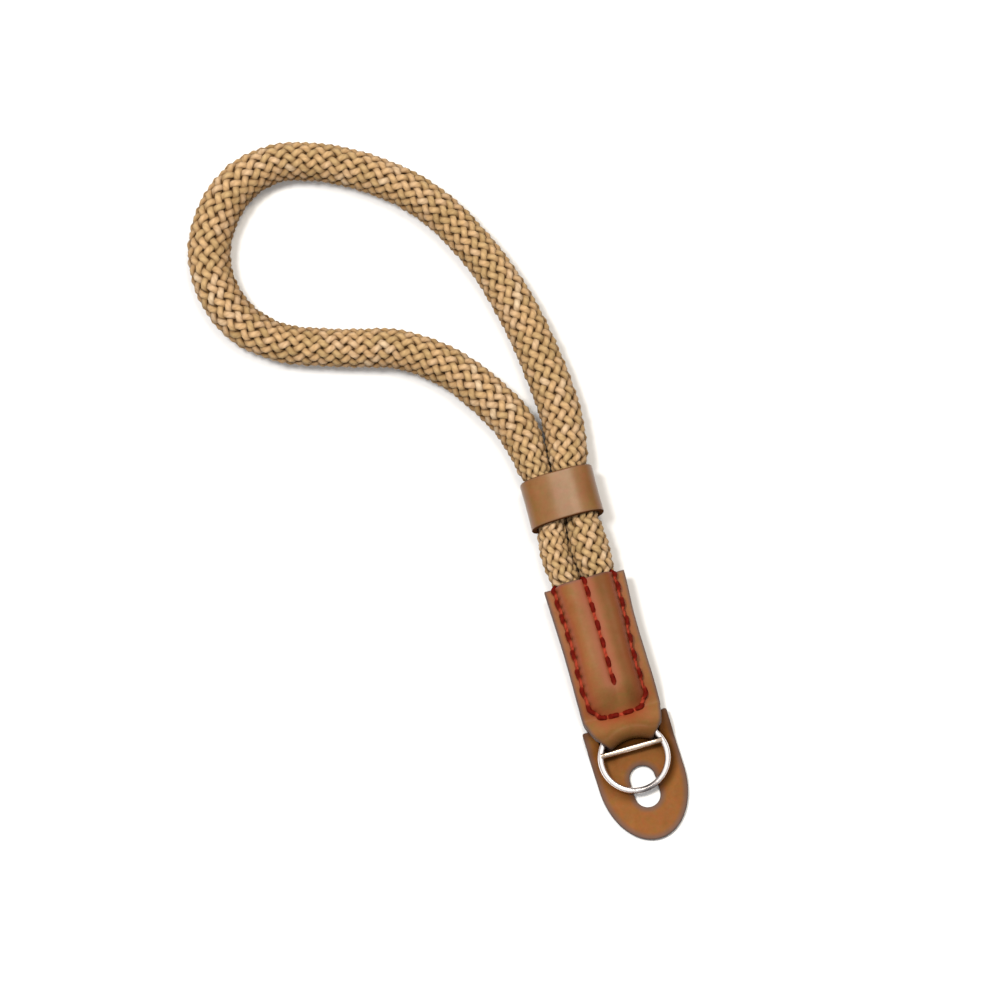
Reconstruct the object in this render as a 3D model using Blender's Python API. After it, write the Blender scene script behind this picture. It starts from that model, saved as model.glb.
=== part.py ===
"""Camera wrist strap: a braided rope loop, its leather keeper and stitched sleeve, a ring with a bar, and a flap.

The strap lies on z = 0. Lengths are in metres, and +Y points from the ring's end to the loop.
Most pieces are drawn in the strap's own plan: across is to the right, along runs down the strap from the
middle of the keeper, and z is up.
"""

import math

import bmesh
import bpy
from mathutils import Matrix, Vector

MM = 0.001

GAP = 0.3 * MM  # between pieces that touch

ROPE_DIAMETER = 11.3 * MM
ROPE_SIDES = 16
ROPE_STEP = 5.0 * MM  # between the rope's sections
ROPE_IN_SLEEVE = 31.0 * MM

KEEPER_WIDTH = 20.2 * MM
KEEPER_HEIGHT = 14.2 * MM
KEEPER_LENGTH = 13.2 * MM
KEEPER_WALL = 1.6 * MM
KEEPER_SQUARENESS = 2.7  # 2 is an ellipse, and more is squarer

NECK_LENGTH = 16.8 * MM  # bare rope between the keeper and the sleeve

SLEEVE_WIDTH = 22.4 * MM
SLEEVE_LENGTH = 43.8 * MM  # from its mouth to the middle of its fold
SLEEVE_HEIGHT = 12.4 * MM
SLEEVE_SHIFT = -0.6 * MM  # its middle line, across from the keeper's
LEATHER = 1.45 * MM
SEAM_INSET = 3.0 * MM  # from the sleeve's edge to its side stitches
CHANNEL_WIDTH = 7.0 * MM  # each of the two hollows
CHANNEL_SPACING = 8.5 * MM  # between their middles
FOLD_WIDTH = 11.8 * MM
FOLD_BEND = 1.1  # how much the fold's edge is bent, as a share of the ring's bend

RING_DIAMETER = 18.0 * MM  # to the middle of its wire
RING_WIRE = 1.7 * MM
BAR_WIRE = 1.4 * MM
BAR_OFFSET = 2.7 * MM  # from the ring's middle towards the sleeve

FLAP_WIDTH = 24.1 * MM
FLAP_SHIFT = -0.2 * MM  # its middle line, across from the sleeve's
FLAP_LENGTH = 33.5 * MM
FLAP_ROUND = 17.0 * MM  # length of its rounded end
FLAP_THICKNESS = 1.4 * MM
FLAP_TURN = math.radians(1.0)  # away from the sleeve's line
FLAP_BEFORE_RING = 1.7 * MM  # from the flap's top edge to the middle of the ring's top
FLAP_RAMP = 3.4 * MM  # past the fold, before the flap lies on the surface
FLAP_SLOT_WIDTH = 16.6 * MM  # for the sleeve's fold
HOLE_WIDTH = 6.9 * MM
HOLE_LENGTH = 12.2 * MM
HOLE_FROM_END = 15.2 * MM  # from the hole's middle to the flap's end

STRAP_ANGLE = math.radians(16.2)
KEEPER_PLACE = Vector((33.3 * MM, -2.8 * MM, 0.0))

# The wrist loop's middle line on the surface, from the left strand round to the right one, in millimetres.
LOOP_ROUTE = (
    (20.8, 17.2),
    (13.5, 24.8),
    (3.2, 32.3),
    (-10.5, 38.0),
    (-26.6, 39.2),
    (-42.8, 40.6),
    (-53.4, 46.3),
    (-60.6, 56.7),
    (-62.4, 66.2),
    (-60.2, 75.9),
    (-54.0, 84.6),
    (-44.2, 89.9),
    (-34.7, 90.5),
    (-21.4, 87.9),
    (-4.7, 80.5),
    (9.6, 67.1),
    (20.6, 50.5),
    (28.6, 33.7),
    (32.6, 21.1),
    (34.4, 12.9),
)

# Both strands where they run side by side, up from their ends. "share" is the place down that stretch, or up
# above the keeper. "left" and "right" are the strands' middles as shares of the channels' spacing, and the
# others are shares of the rope's diameter. "rise" is the middle's height.
STRAND_COLUMNS = ("stretch", "share", "left", "right", "left_width", "right_width", "height", "rise")
STRAND_ROWS = (
    ("sleeve", 1.00, -0.50, 0.50, 0.44, 0.44, 0.42, 0.455),
    ("sleeve", 0.80, -0.50, 0.50, 0.54, 0.54, 0.66, 0.520),
    ("sleeve", 0.45, -0.50, 0.50, 0.56, 0.56, 0.76, 0.540),
    ("sleeve", 0.15, -0.50, 0.50, 0.56, 0.56, 0.77, 0.549),
    ("sleeve", 0.00, -0.50, 0.50, 0.56, 0.56, 0.78, 0.549),
    ("neck", 0.90, -0.63, 0.44, 0.66, 0.80, 0.90, 0.560),
    ("neck", 0.50, -0.72, 0.40, 0.68, 0.95, 0.98, 0.590),
    ("neck", 0.12, -0.64, 0.42, 0.66, 0.86, 0.94, 0.620),
    ("keeper", 1.03, -0.535, 0.447, 0.62, 0.78, 0.91, 0.628),
    ("keeper", -0.03, -0.535, 0.447, 0.62, 0.78, 0.91, 0.628),
    ("above", 0.30, -0.60, 0.62, 0.74, 0.90, 0.96, 0.600),
)


def plan(across, along, z=0.0):
    """A point of the strap's own plan, in the world."""
    right = Vector((math.cos(STRAP_ANGLE), math.sin(STRAP_ANGLE), 0.0))
    down = Vector((math.sin(STRAP_ANGLE), -math.cos(STRAP_ANGLE), 0.0))
    return KEEPER_PLACE + across * right + along * down + Vector((0.0, 0.0, z))


MOUTH = KEEPER_LENGTH / 2 + NECK_LENGTH
FOLD = MOUTH + SLEEVE_LENGTH

# The stack inside the fold, from the surface up: the sleeve's back, the flap, the ring and the sleeve's front.
FLAP_UNDER = LEATHER + GAP
FLAP_OVER = FLAP_UNDER + FLAP_THICKNESS
WIRE_MIDDLE = FLAP_OVER + GAP + RING_WIRE / 2
FOLD_HEIGHT = WIRE_MIDDLE + RING_WIRE / 2 + GAP + LEATHER
WIRE_REST = FLAP_THICKNESS + GAP + RING_WIRE / 2

RING_TOP = FOLD - LEATHER - GAP - RING_WIRE / 2
RING_MIDDLE = RING_TOP + RING_DIAMETER / 2
RING_TILT = math.asin((WIRE_MIDDLE - WIRE_REST) / RING_DIAMETER)
FLAP_TOP = RING_TOP - FLAP_BEFORE_RING


def ring_arc(across, radius):
    """Along the strap, the upper arc of a circle round the ring's middle."""
    offset = min(abs(across), 0.95 * radius)
    return RING_MIDDLE - math.sqrt(radius**2 - offset**2)


def room_end(across):
    """Along the strap, where the room inside the fold ends, just past the ring's wire."""
    return ring_arc(across, RING_DIAMETER / 2 - RING_WIRE / 2 - GAP)


def fold_edge(across):
    """Along the strap, the edge of the fold, which is bent like the ring's arc."""
    bent_width = min(abs(across), FOLD_WIDTH / 2)
    return FOLD + FOLD_BEND * (ring_arc(bent_width, RING_DIAMETER / 2) - RING_TOP)


def material(name, colour, roughness, metallic=0.0):
    """A Principled BSDF with one colour."""
    made = bpy.data.materials.new(name)
    made.use_nodes = True
    shader = made.node_tree.nodes["Principled BSDF"]
    shader.inputs["Base Color"].default_value = (*colour, 1.0)
    shader.inputs["Roughness"].default_value = roughness
    shader.inputs["Metallic"].default_value = metallic
    made.diffuse_color = (*colour, 1.0)
    return made


def mesh_object(name, points, faces, finish, crease=math.radians(40)):
    """An object of points in the world and their faces."""
    mesh = bpy.data.meshes.new(name)
    mesh.from_pydata([tuple(p) for p in points], [], faces)
    work = bmesh.new()
    work.from_mesh(mesh)
    bmesh.ops.recalc_face_normals(work, faces=work.faces)
    work.to_mesh(mesh)
    work.free()
    mesh.shade_smooth()
    mesh.set_sharp_from_angle(angle=crease)
    mesh.materials.append(finish)
    made = bpy.data.objects.new(name, mesh)
    bpy.context.scene.collection.objects.link(made)
    return made


def loft(name, rings, finish):
    """A closed tube through rings of equal numbers of points, with flat ends."""
    sides = len(rings[0])
    points = [p for ring in rings for p in ring]
    faces = []
    for row in range(len(rings) - 1):
        for side in range(sides):
            after = (side + 1) % sides
            a = row * sides
            b = a + sides
            faces.append((a + side, a + after, b + after, b + side))
    faces.append(tuple(range(sides)))
    faces.append(tuple(range(len(points) - sides, len(points))))
    return mesh_object(name, points, faces, finish)


def slab(name, rows, finish):
    """A closed sheet from rows of (top point, bottom point) pairs."""
    wide = len(rows[0])
    count = len(rows) * wide
    points = [pair[0] for row in rows for pair in row] + [pair[1] for row in rows for pair in row]
    faces = []
    for row in range(len(rows) - 1):
        for column in range(wide - 1):
            a = row * wide + column
            corners = (a, a + 1, a + wide + 1, a + wide)
            faces.append(corners)
            faces.append(tuple(corner + count for corner in corners))
    last = (len(rows) - 1) * wide
    rim = list(range(wide)) + [row * wide + wide - 1 for row in range(1, len(rows))]
    rim += list(range(last + wide - 2, last - 1, -1)) + [row * wide for row in range(len(rows) - 2, 0, -1)]
    for a, b in zip(rim, rim[1:] + rim[:1]):
        faces.append((a, b, b + count, a + count))
    return mesh_object(name, points, faces, finish)


def prism(name, outline, low, high):
    """A cutter: a plan outline of (across, along) points, from one height to another."""
    count = len(outline)
    points = [plan(a, b, low) for a, b in outline] + [plan(a, b, high) for a, b in outline]
    faces = [tuple(range(count)), tuple(range(count, 2 * count))]
    for corner in range(count):
        after = (corner + 1) % count
        faces.append((corner, after, after + count, corner + count))
    return as_cutter(mesh_object(name, points, faces, CUTTER_FINISH))


def as_cutter(guide):
    guide.hide_render = True
    guide.display_type = "WIRE"
    return guide


def cut(target, cutter, operation="DIFFERENCE"):
    change = target.modifiers.new(cutter.name, "BOOLEAN")
    change.operation = operation
    change.solver = "EXACT"
    change.object = cutter


def smooth_step(low, high, value):
    share = min(max((value - low) / (high - low), 0.0), 1.0)
    return share * share * (3 - 2 * share)


def between(table, value):
    """The value of a smooth line through (place, value) pairs."""
    for (place, this), (later, following) in zip(table, table[1:]):
        if value <= later:
            return this + (following - this) * smooth_step(place, later, value)
    return table[-1][1]


def curve_point(knots, span, share):
    """A point on a centripetal Catmull-Rom curve, between knots[span] and the next."""
    chosen = [knots[max(0, min(len(knots) - 1, span + offset))] for offset in (-1, 0, 1, 2)]
    if span == 0:
        chosen[0] = chosen[1] * 2 - chosen[2]
    if span == len(knots) - 2:
        chosen[3] = chosen[2] * 2 - chosen[1]
    times = [0.0]
    for a, b in zip(chosen, chosen[1:]):
        times.append(times[-1] + math.sqrt((b - a).length))
    t = times[1] + (times[2] - times[1]) * share

    def mix(a, b, low, high):
        return a * ((high - t) / (high - low)) + b * ((t - low) / (high - low))

    first = [mix(chosen[i], chosen[i + 1], times[i], times[i + 1]) for i in range(3)]
    second = [mix(first[i], first[i + 1], times[i], times[i + 2]) for i in range(2)]
    return mix(second[0], second[1], times[1], times[2])


def strand_place(stretch, share):
    """How far down the strap a row of STRAND_ROWS is."""
    return {
        "sleeve": MOUTH + share * ROPE_IN_SLEEVE,
        "neck": KEEPER_LENGTH / 2 + share * NECK_LENGTH,
        "keeper": KEEPER_LENGTH * (share - 0.5),
        "above": -KEEPER_LENGTH / 2 - share * KEEPER_LENGTH,
    }[stretch]


def rope_knots():
    """The rope's route, one (middle, half width, half height) for each knot."""
    radius = ROPE_DIAMETER / 2
    left, right = [], []
    for values in STRAND_ROWS:
        row = dict(zip(STRAND_COLUMNS, values))
        along = strand_place(row["stretch"], row["share"])
        shift = SLEEVE_SHIFT if row["stretch"] == "sleeve" else 0.0
        rise = row["rise"] * ROPE_DIAMETER
        tall = row["height"] * radius
        for side, kept in (("left", left), ("right", right)):
            across = row[side] * CHANNEL_SPACING + shift
            kept.append((plan(across, along, rise), row[side + "_width"] * radius, tall))
    loop = [(Vector((x * MM, y * MM, radius)), radius, radius) for x, y in LOOP_ROUTE]
    return left + loop + right[::-1]


def make_rope(finish):
    knots = rope_knots()
    middles = [middle for middle, _, _ in knots]
    rings = []
    for span in range(len(knots) - 1):
        steps = max(1, round((middles[span + 1] - middles[span]).length / ROPE_STEP))
        last = span == len(knots) - 2
        for step in range(steps + (1 if last else 0)):
            share = step / steps
            here = curve_point(middles, span, share)
            ahead = curve_point(middles, span, min(share + 0.01, 1.0))
            behind = curve_point(middles, span, max(share - 0.01, 0.0))
            side = (ahead - behind).cross(Vector((0, 0, 1))).normalized()
            up = Vector((0, 0, 1))
            blend = smooth_step(0.0, 1.0, share)
            here.z = middles[span].z + (middles[span + 1].z - middles[span].z) * blend
            wide = knots[span][1] + (knots[span + 1][1] - knots[span][1]) * blend
            tall = knots[span][2] + (knots[span + 1][2] - knots[span][2]) * blend
            rings.append([
                here + side * wide * math.cos(turn) + up * tall * math.sin(turn)
                for turn in (2 * math.pi * k / ROPE_SIDES for k in range(ROPE_SIDES))
            ])
    return loft("rope", rings, finish)


def squared_ellipse(wide, tall, squareness, count):
    """Points round a superellipse, as (across, z) from its middle."""
    points = []
    for k in range(count):
        turn = 2 * math.pi * k / count
        c, s = math.cos(turn), math.sin(turn)
        points.append((
            wide * math.copysign(abs(c) ** (2 / squareness), c),
            tall * math.copysign(abs(s) ** (2 / squareness), s),
        ))
    return points


def make_keeper(finish):
    """A leather band with an open middle."""
    count = 40
    half = (KEEPER_WIDTH / 2, KEEPER_HEIGHT / 2)
    outer = squared_ellipse(*half, KEEPER_SQUARENESS, count)
    inner = squared_ellipse(half[0] - KEEPER_WALL, half[1] - KEEPER_WALL, KEEPER_SQUARENESS + 0.3, count)
    loops = [
        [plan(across, end * KEEPER_LENGTH / 2, half[1] + z) for across, z in outline]
        for outline, end in ((outer, -1), (outer, 1), (inner, 1), (inner, -1))
    ]
    points = [p for loop in loops for p in loop]
    faces = []
    for loop in range(4):
        for k in range(count):
            after = (k + 1) % count
            a, b = loop * count, (loop + 1) % 4 * count
            faces.append((a + k, a + after, b + after, b + k))
    return mesh_object("keeper", points, faces, finish)


# The sleeve down to its tab, as shares of its length, height and width. "seam" is the height of the seam
# between its two sheets, "swell" the lobes' height above the seam and below it, and "edge" the sleeve's width.
SLEEVE_COLUMNS = ("place", "seam", "swell", "edge")
SLEEVE_ROWS = (
    (0.00, 0.500, 0.500, 1.000),
    (0.20, 0.500, 0.500, 0.985),
    (0.40, 0.495, 0.495, 0.972),
    (0.58, 0.480, 0.480, 0.980),
    (0.69, 0.430, 0.430, 0.990),
    (0.76, 0.350, 0.320, 0.990),
    (0.82, 0.250, 0.165, 0.990),
    (0.86, 0.195, 0.117, 0.980),
)
# How far the tab has yet to narrow to the fold's width, by the share of its length.
TAB_NARROWING = ((0.0, 0.96), (0.25, 0.80), (0.50, 0.57), (0.70, 0.38), (0.85, 0.22), (0.95, 0.10), (1.0, 0.0))
LOBE_VALLEY = 0.62  # height of the line between the lobes, as a share of theirs


def lobe(across):
    """The lobes' form across the sleeve: 1 on each lobe, LOBE_VALLEY between them and 0 at the seam."""
    peak = CHANNEL_SPACING / 2
    foot = SLEEVE_WIDTH / 2 - SEAM_INSET
    x = abs(across)
    if x <= peak:
        return LOBE_VALLEY + (1 - LOBE_VALLEY) * math.sin(math.pi / 2 * x / peak) ** 0.9
    share = min((x - peak) / (foot - peak), 1.0)
    return math.sqrt(max(1 - share**2.2, 0.0))


def sleeve_columns(half_width):
    """Places across one row of the sleeve."""
    foot = min(SLEEVE_WIDTH / 2 - SEAM_INSET, 0.8 * half_width)
    inner = [foot * share for share in (0, 0.1, 0.22, 0.36, 0.52, 0.68, 0.8, 0.9, 0.96, 1.0)]
    outer = [foot + (half_width - foot) * share for share in (0.35, 0.8, 1.0)]
    right = inner + outer
    return [-x for x in right[:0:-1]] + right


def sleeve_row(along, half_width, seam, swell, thick):
    """One row of the sleeve's pairs of top and bottom points."""
    row = []
    for across in sleeve_columns(half_width):
        rise = thick + max(swell - thick, 0.0) * lobe(across)
        edge = smooth_step(half_width, half_width - 0.4 * thick, abs(across))
        rise *= 0.75 + 0.25 * edge
        row.append((
            plan(across + SLEEVE_SHIFT, along, seam + rise),
            plan(across + SLEEVE_SHIFT, along, seam - rise),
        ))
    return row


def tab_profile():
    """The tab from its start to the fold's edge: (distance back from the edge, top, underside)."""
    start = FOLD - (MOUTH + SLEEVE_ROWS[-1][0] * SLEEVE_LENGTH)
    seam = SLEEVE_ROWS[-1][1] * SLEEVE_HEIGHT
    over_flap = FLAP_OVER + GAP + LEATHER
    nose = FOLD_HEIGHT / 2
    profile = [
        (start, seam + LEATHER, seam - LEATHER),
        (FOLD - FLAP_TOP + GAP, over_flap, 0.0),
        (FOLD - RING_TOP + RING_WIRE, 0.55 * FOLD_HEIGHT + 0.45 * over_flap, 0.0),
        (nose, FOLD_HEIGHT, 0.0),
    ]
    for degrees in (25, 45, 62, 76):
        turn = math.radians(degrees)
        profile.append((nose - nose * math.sin(turn), nose + nose * math.cos(turn), nose - nose * math.cos(turn)))
    profile.append((0.0, 1.12 * nose, 0.88 * nose))
    return profile


def make_sleeve(finish):
    """The folded strip: two lobes with hollows, a flat tab and a fold with room for the ring and the flap."""
    rows = []
    steps = 22
    last_place = SLEEVE_ROWS[-1][0]
    column = {
        name: [(values[0], values[k]) for values in SLEEVE_ROWS] for k, name in enumerate(SLEEVE_COLUMNS)
    }
    for step in range(steps + 1):
        place = last_place * step / steps
        seam = between(column["seam"], place) * SLEEVE_HEIGHT
        swell = between(column["swell"], place) * SLEEVE_HEIGHT
        half_width = between(column["edge"], place) * SLEEVE_WIDTH / 2
        rows.append(sleeve_row(MOUTH + place * SLEEVE_LENGTH, half_width, seam, max(swell, LEATHER), LEATHER))
    profile = tab_profile()
    tab_length = profile[0][0]
    for back, top, under in profile[1:]:
        reach = 1 - back / tab_length
        half_width = FOLD_WIDTH / 2 + (SLEEVE_WIDTH - FOLD_WIDTH) / 2 * between(TAB_NARROWING, reach)
        row = []
        for across in sleeve_columns(half_width):
            along = FOLD - back + (fold_edge(across) - FOLD) * smooth_step(0.0, 1.0, reach)
            edge = smooth_step(half_width, half_width - 0.4 * LEATHER, abs(across))
            trim = 0.12 * LEATHER * (1 - edge)
            row.append((
                plan(across + SLEEVE_SHIFT, along, top - trim),
                plan(across + SLEEVE_SHIFT, along, under + trim),
            ))
        rows.append(row)
    sleeve = slab("sleeve", rows, finish)
    for side in (-1, 1):
        cut(sleeve, channel_cutter(side))
    cut(sleeve, fold_cutter())
    return sleeve


def channel_cutter(side):
    """One of the hollows for the rope's ends, open at the mouth."""
    rings = []
    seams = [(row[0], row[1]) for row in SLEEVE_ROWS]
    swells = [(row[0], row[2]) for row in SLEEVE_ROWS]
    depth = (ROPE_IN_SLEEVE + 2 * GAP) / SLEEVE_LENGTH
    for share in (-0.03, 0.0, 0.15, 0.35, 0.55, 0.7, 0.82, 0.92, 1.0):
        place = max(share, 0.0) * depth
        seam = between(seams, place) * SLEEVE_HEIGHT
        tall = between(swells, place) * SLEEVE_HEIGHT - LEATHER
        wide = CHANNEL_WIDTH / 2 * (1.0 if share < 0.9 else 0.93)
        middle = side * CHANNEL_SPACING / 2 + SLEEVE_SHIFT
        along = MOUTH + share * depth * SLEEVE_LENGTH
        rings.append([
            plan(middle + x, along, seam + z) for x, z in squared_ellipse(wide, tall, 2.3, 20)
        ])
    return as_cutter(loft(f"channel_{'left' if side < 0 else 'right'}", rings, CUTTER_FINISH))


def fold_cutter():
    """The room inside the fold, across the whole tab: low over the flap's edge, high over the ring's wire."""
    reach = SLEEVE_WIDTH / 2
    low, middle, high = LEATHER, FLAP_OVER + GAP, FOLD_HEIGHT - LEATHER
    start = FLAP_TOP - GAP
    rings = []
    count = 16
    for step in range(count + 1):
        across = reach * (2 * step / count - 1)
        end = room_end(across)
        wire = max(start + 0.4 * MM, ring_arc(across, RING_DIAMETER / 2 + RING_WIRE / 2 + GAP))
        profile = (
            (start - 0.4 * MM, (low + middle) / 2),
            (start, middle),
            (wire - 0.15 * MM, middle + 0.1 * MM),
            (wire + 0.05 * MM, high - 0.9 * MM),
            (wire + 0.5 * MM, high),
            (end - 0.55 * MM, high),
            (end, high - 0.6 * MM),
            (end, low + 0.7 * MM),
            (end - 0.6 * MM, low),
            (start, low),
        )
        rings.append([plan(across + SLEEVE_SHIFT, along, z) for along, z in profile])
    return as_cutter(loft("fold_room", rings, CUTTER_FINISH))


def make_ring(finish):
    """A round wire ring with a straight bar across it, soldered into one piece."""
    place = plan(SLEEVE_SHIFT, RING_MIDDLE, (WIRE_MIDDLE + WIRE_REST) / 2)
    lay = Matrix.Translation(place) @ Matrix.Rotation(STRAP_ANGLE, 4, "Z") @ Matrix.Rotation(RING_TILT, 4, "X")
    around, sides = 44, 10
    points, faces = [], []
    for a in range(around):
        turn = 2 * math.pi * a / around
        for b in range(sides):
            roll = 2 * math.pi * b / sides
            reach = RING_DIAMETER / 2 + RING_WIRE / 2 * math.cos(roll)
            local = Vector((reach * math.cos(turn), reach * math.sin(turn), RING_WIRE / 2 * math.sin(roll)))
            points.append(lay @ local)
            here, there = a * sides, (a + 1) % around * sides
            after = (b + 1) % sides
            faces.append((here + b, here + after, there + after, there + b))
    ring = mesh_object("ring", points, faces, finish)
    half = math.sqrt((RING_DIAMETER / 2) ** 2 - BAR_OFFSET**2)
    ends = []
    for x in (-half, half):
        ends.append([
            lay @ Vector((x, BAR_OFFSET + BAR_WIRE / 2 * math.cos(turn), BAR_WIRE / 2 * math.sin(turn)))
            for turn in (2 * math.pi * (k + 0.5) / sides for k in range(sides))
        ])
    cut(ring, as_cutter(loft("bar", ends, finish)), "UNION")
    return ring


def flap_under(along):
    """The height of the flap's underside: over the sleeve's back at its top, then down to the surface."""
    return FLAP_UNDER * (1 - smooth_step(FOLD - LEATHER, FOLD + FLAP_RAMP, along))


def flap_turned(across, along):
    """The flap's own line is turned a little about the middle of its top edge."""
    c, s = math.cos(FLAP_TURN), math.sin(FLAP_TURN)
    x, y = across, along - FLAP_TOP
    return SLEEVE_SHIFT + FLAP_SHIFT + x * c + y * s, FLAP_TOP + y * c - x * s


def make_flap(finish):
    """The leather guard behind the ring."""
    half = FLAP_WIDTH / 2
    straight = FLAP_LENGTH - FLAP_ROUND
    stations = [(straight * share, half) for share in (0, 0.06, 0.15, 0.25, 0.35, 0.45, 0.55, 0.65, 0.8)]
    for k in range(13):
        turn = math.radians(7.2 * k)
        stations.append((straight + FLAP_ROUND * math.sin(turn), half * math.cos(turn)))
    rows = []
    for down, wide in stations:
        row = []
        for share in (-1, -0.86, -0.63, -0.38, -0.13, 0.13, 0.38, 0.63, 0.86, 1):
            across, along = flap_turned(wide * share, FLAP_TOP + down)
            under = flap_under(along)
            row.append((plan(across, along, under + FLAP_THICKNESS), plan(across, along, under)))
        rows.append(row)
    flap = slab("flap", rows, finish)
    cut(flap, hole_cutter())
    cut(flap, slot_cutter())
    return flap


def hole_cutter():
    """The oblong hole for a camera's lug."""
    middle = FLAP_TOP + FLAP_LENGTH - HOLE_FROM_END
    radius = HOLE_WIDTH / 2
    run = HOLE_LENGTH / 2 - radius
    outline = []
    for end in (1, -1):
        for k in range(11):
            turn = math.pi * k / 10 + (0 if end > 0 else math.pi)
            point = (radius * math.cos(turn), middle + end * run + radius * math.sin(turn))
            outline.append(flap_turned(*point))
    return prism("lug_hole", outline, -MM, FLAP_OVER + MM)


def slot_cutter():
    """The slot that the sleeve's fold goes through, with its lower side bent like the fold's edge."""
    half = FLAP_SLOT_WIDTH / 2
    count = 12
    before, after = [], []
    for k in range(count + 1):
        across = half * (2 * k / count - 1)
        before.append((across + SLEEVE_SHIFT, room_end(0.0) - GAP))
        after.append((across + SLEEVE_SHIFT, fold_edge(across) + GAP))
    return prism("fold_slot", before + after[::-1], -MM, FLAP_OVER + MM)


for old in list(bpy.data.objects):
    bpy.data.objects.remove(old, do_unlink=True)

CUTTER_FINISH = material("cutter", (0.5, 0.5, 0.5), 0.5)

make_rope(material("tan_braided_rope", (0.52, 0.36, 0.18), 0.85))
make_keeper(material("keeper_leather", (0.36, 0.17, 0.07), 0.5))
make_sleeve(material("sleeve_leather", (0.33, 0.16, 0.07), 0.5))
make_ring(material("bright_metal", (0.8, 0.8, 0.8), 0.15, 1.0))
make_flap(material("flap_leather", (0.31, 0.12, 0.04), 0.5))
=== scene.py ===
"""The camera wrist strap, dressed for its photograph: braided rope, stitched leather and bright wire.

Lengths are in millimetres until a mesh is made. Most pieces are drawn in the strap's own plan: across is to
the right, along runs down the strap from the middle of the keeper, and z is up.
"""

import math

import bpy
import numpy as np
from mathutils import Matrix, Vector
from mathutils.geometry import delaunay_2d_cdt


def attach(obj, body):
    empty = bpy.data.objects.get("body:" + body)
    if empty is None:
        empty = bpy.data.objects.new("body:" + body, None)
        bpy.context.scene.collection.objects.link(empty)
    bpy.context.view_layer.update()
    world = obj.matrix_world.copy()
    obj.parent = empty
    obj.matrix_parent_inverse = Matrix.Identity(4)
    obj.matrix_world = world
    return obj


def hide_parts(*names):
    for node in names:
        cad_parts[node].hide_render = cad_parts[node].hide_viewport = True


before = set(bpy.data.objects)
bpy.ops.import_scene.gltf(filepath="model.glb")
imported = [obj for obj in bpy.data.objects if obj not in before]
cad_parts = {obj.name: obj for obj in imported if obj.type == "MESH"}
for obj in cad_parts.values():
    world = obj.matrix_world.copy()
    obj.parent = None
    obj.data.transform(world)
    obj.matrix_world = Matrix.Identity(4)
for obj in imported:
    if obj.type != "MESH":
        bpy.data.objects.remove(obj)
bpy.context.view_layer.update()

MM = 0.001
UP = np.array([0.0, 0.0, 1.0])
RANDOM = np.random.default_rng(7)

# Sizes, as in the solids. The keeper's lean, the fold's bend, the bar's wire and the flap's width, length,
# shift, hole and ears are measured finer here.
GAP = 0.3
ROPE_DIAMETER = 11.3
ROPE_IN_SLEEVE = 31.0
KEEPER_WIDTH = 20.2
KEEPER_HEIGHT = 14.2
KEEPER_LENGTH = 13.2
KEEPER_WALL = 1.6
KEEPER_SQUARENESS = 2.7
KEEPER_LEAN = 0.025
NECK_LENGTH = 16.8
SLEEVE_WIDTH = 22.4
SLEEVE_LENGTH = 43.8
SLEEVE_HEIGHT = 12.4
SLEEVE_SHIFT = -0.6
LEATHER = 1.45
SEAM_INSET = 3.0
CHANNEL_SPACING = 8.5
FOLD_WIDTH = 11.8
FOLD_BEND = 0.85
RING_DIAMETER = 18.0
RING_WIRE = 1.7
BAR_WIRE = 1.7
BAR_OFFSET = 2.7
FLAP_WIDTH = 23.9
FLAP_SHIFT = -0.15
FLAP_LENGTH = 33.1
FLAP_ROUND = 17.0
FLAP_THICKNESS = 1.4
FLAP_TURN = math.radians(1.0)
FLAP_BEFORE_RING = 1.7
FLAP_RAMP = 3.4
FLAP_SLOT_WIDTH = 16.6
HOLE_WIDTH = 6.9
HOLE_LENGTH = 11.6
HOLE_FROM_END = 14.9
HOLE_SHIFT = 0.2
EAR_WIDTH = 4.0
EAR_RISES = (0.35, 0.75)
STRAP_ANGLE = math.radians(16.2)
KEEPER_PLACE = np.array([33.3, -2.8, 0.0])

MOUTH = KEEPER_LENGTH / 2 + NECK_LENGTH
FOLD = MOUTH + SLEEVE_LENGTH
FLAP_UNDER = LEATHER + GAP
FLAP_OVER = FLAP_UNDER + FLAP_THICKNESS
WIRE_MIDDLE = FLAP_OVER + GAP + RING_WIRE / 2
FOLD_HEIGHT = WIRE_MIDDLE + RING_WIRE / 2 + GAP + LEATHER
WIRE_REST = FLAP_THICKNESS + GAP + RING_WIRE / 2
RING_TOP = FOLD - LEATHER - GAP - RING_WIRE / 2
RING_MIDDLE = RING_TOP + RING_DIAMETER / 2
RING_TILT = math.asin((WIRE_MIDDLE - WIRE_REST) / RING_DIAMETER)
FLAP_TOP = RING_TOP - FLAP_BEFORE_RING

# How far the fold and the ring lie from their places in the solids, across and along the strap.
FOLD_FURTHER = 0.7
RING_NUDGE = (-0.37, -0.5)

# The wrist loop's middle line on the surface, from the left strand round to the right one.
LOOP_ROUTE = (
    (20.8, 17.2), (13.5, 24.8), (3.2, 32.3), (-10.5, 38.0), (-26.6, 39.2),
    (-42.8, 40.6), (-53.4, 46.3), (-60.6, 56.7), (-62.4, 66.2), (-60.2, 75.9),
    (-54.0, 84.6), (-44.2, 89.9), (-34.7, 90.5), (-21.4, 87.9), (-4.7, 80.5),
    (9.6, 67.1), (20.6, 50.5), (28.6, 33.7), (32.6, 21.1), (34.4, 12.9),
)
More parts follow.
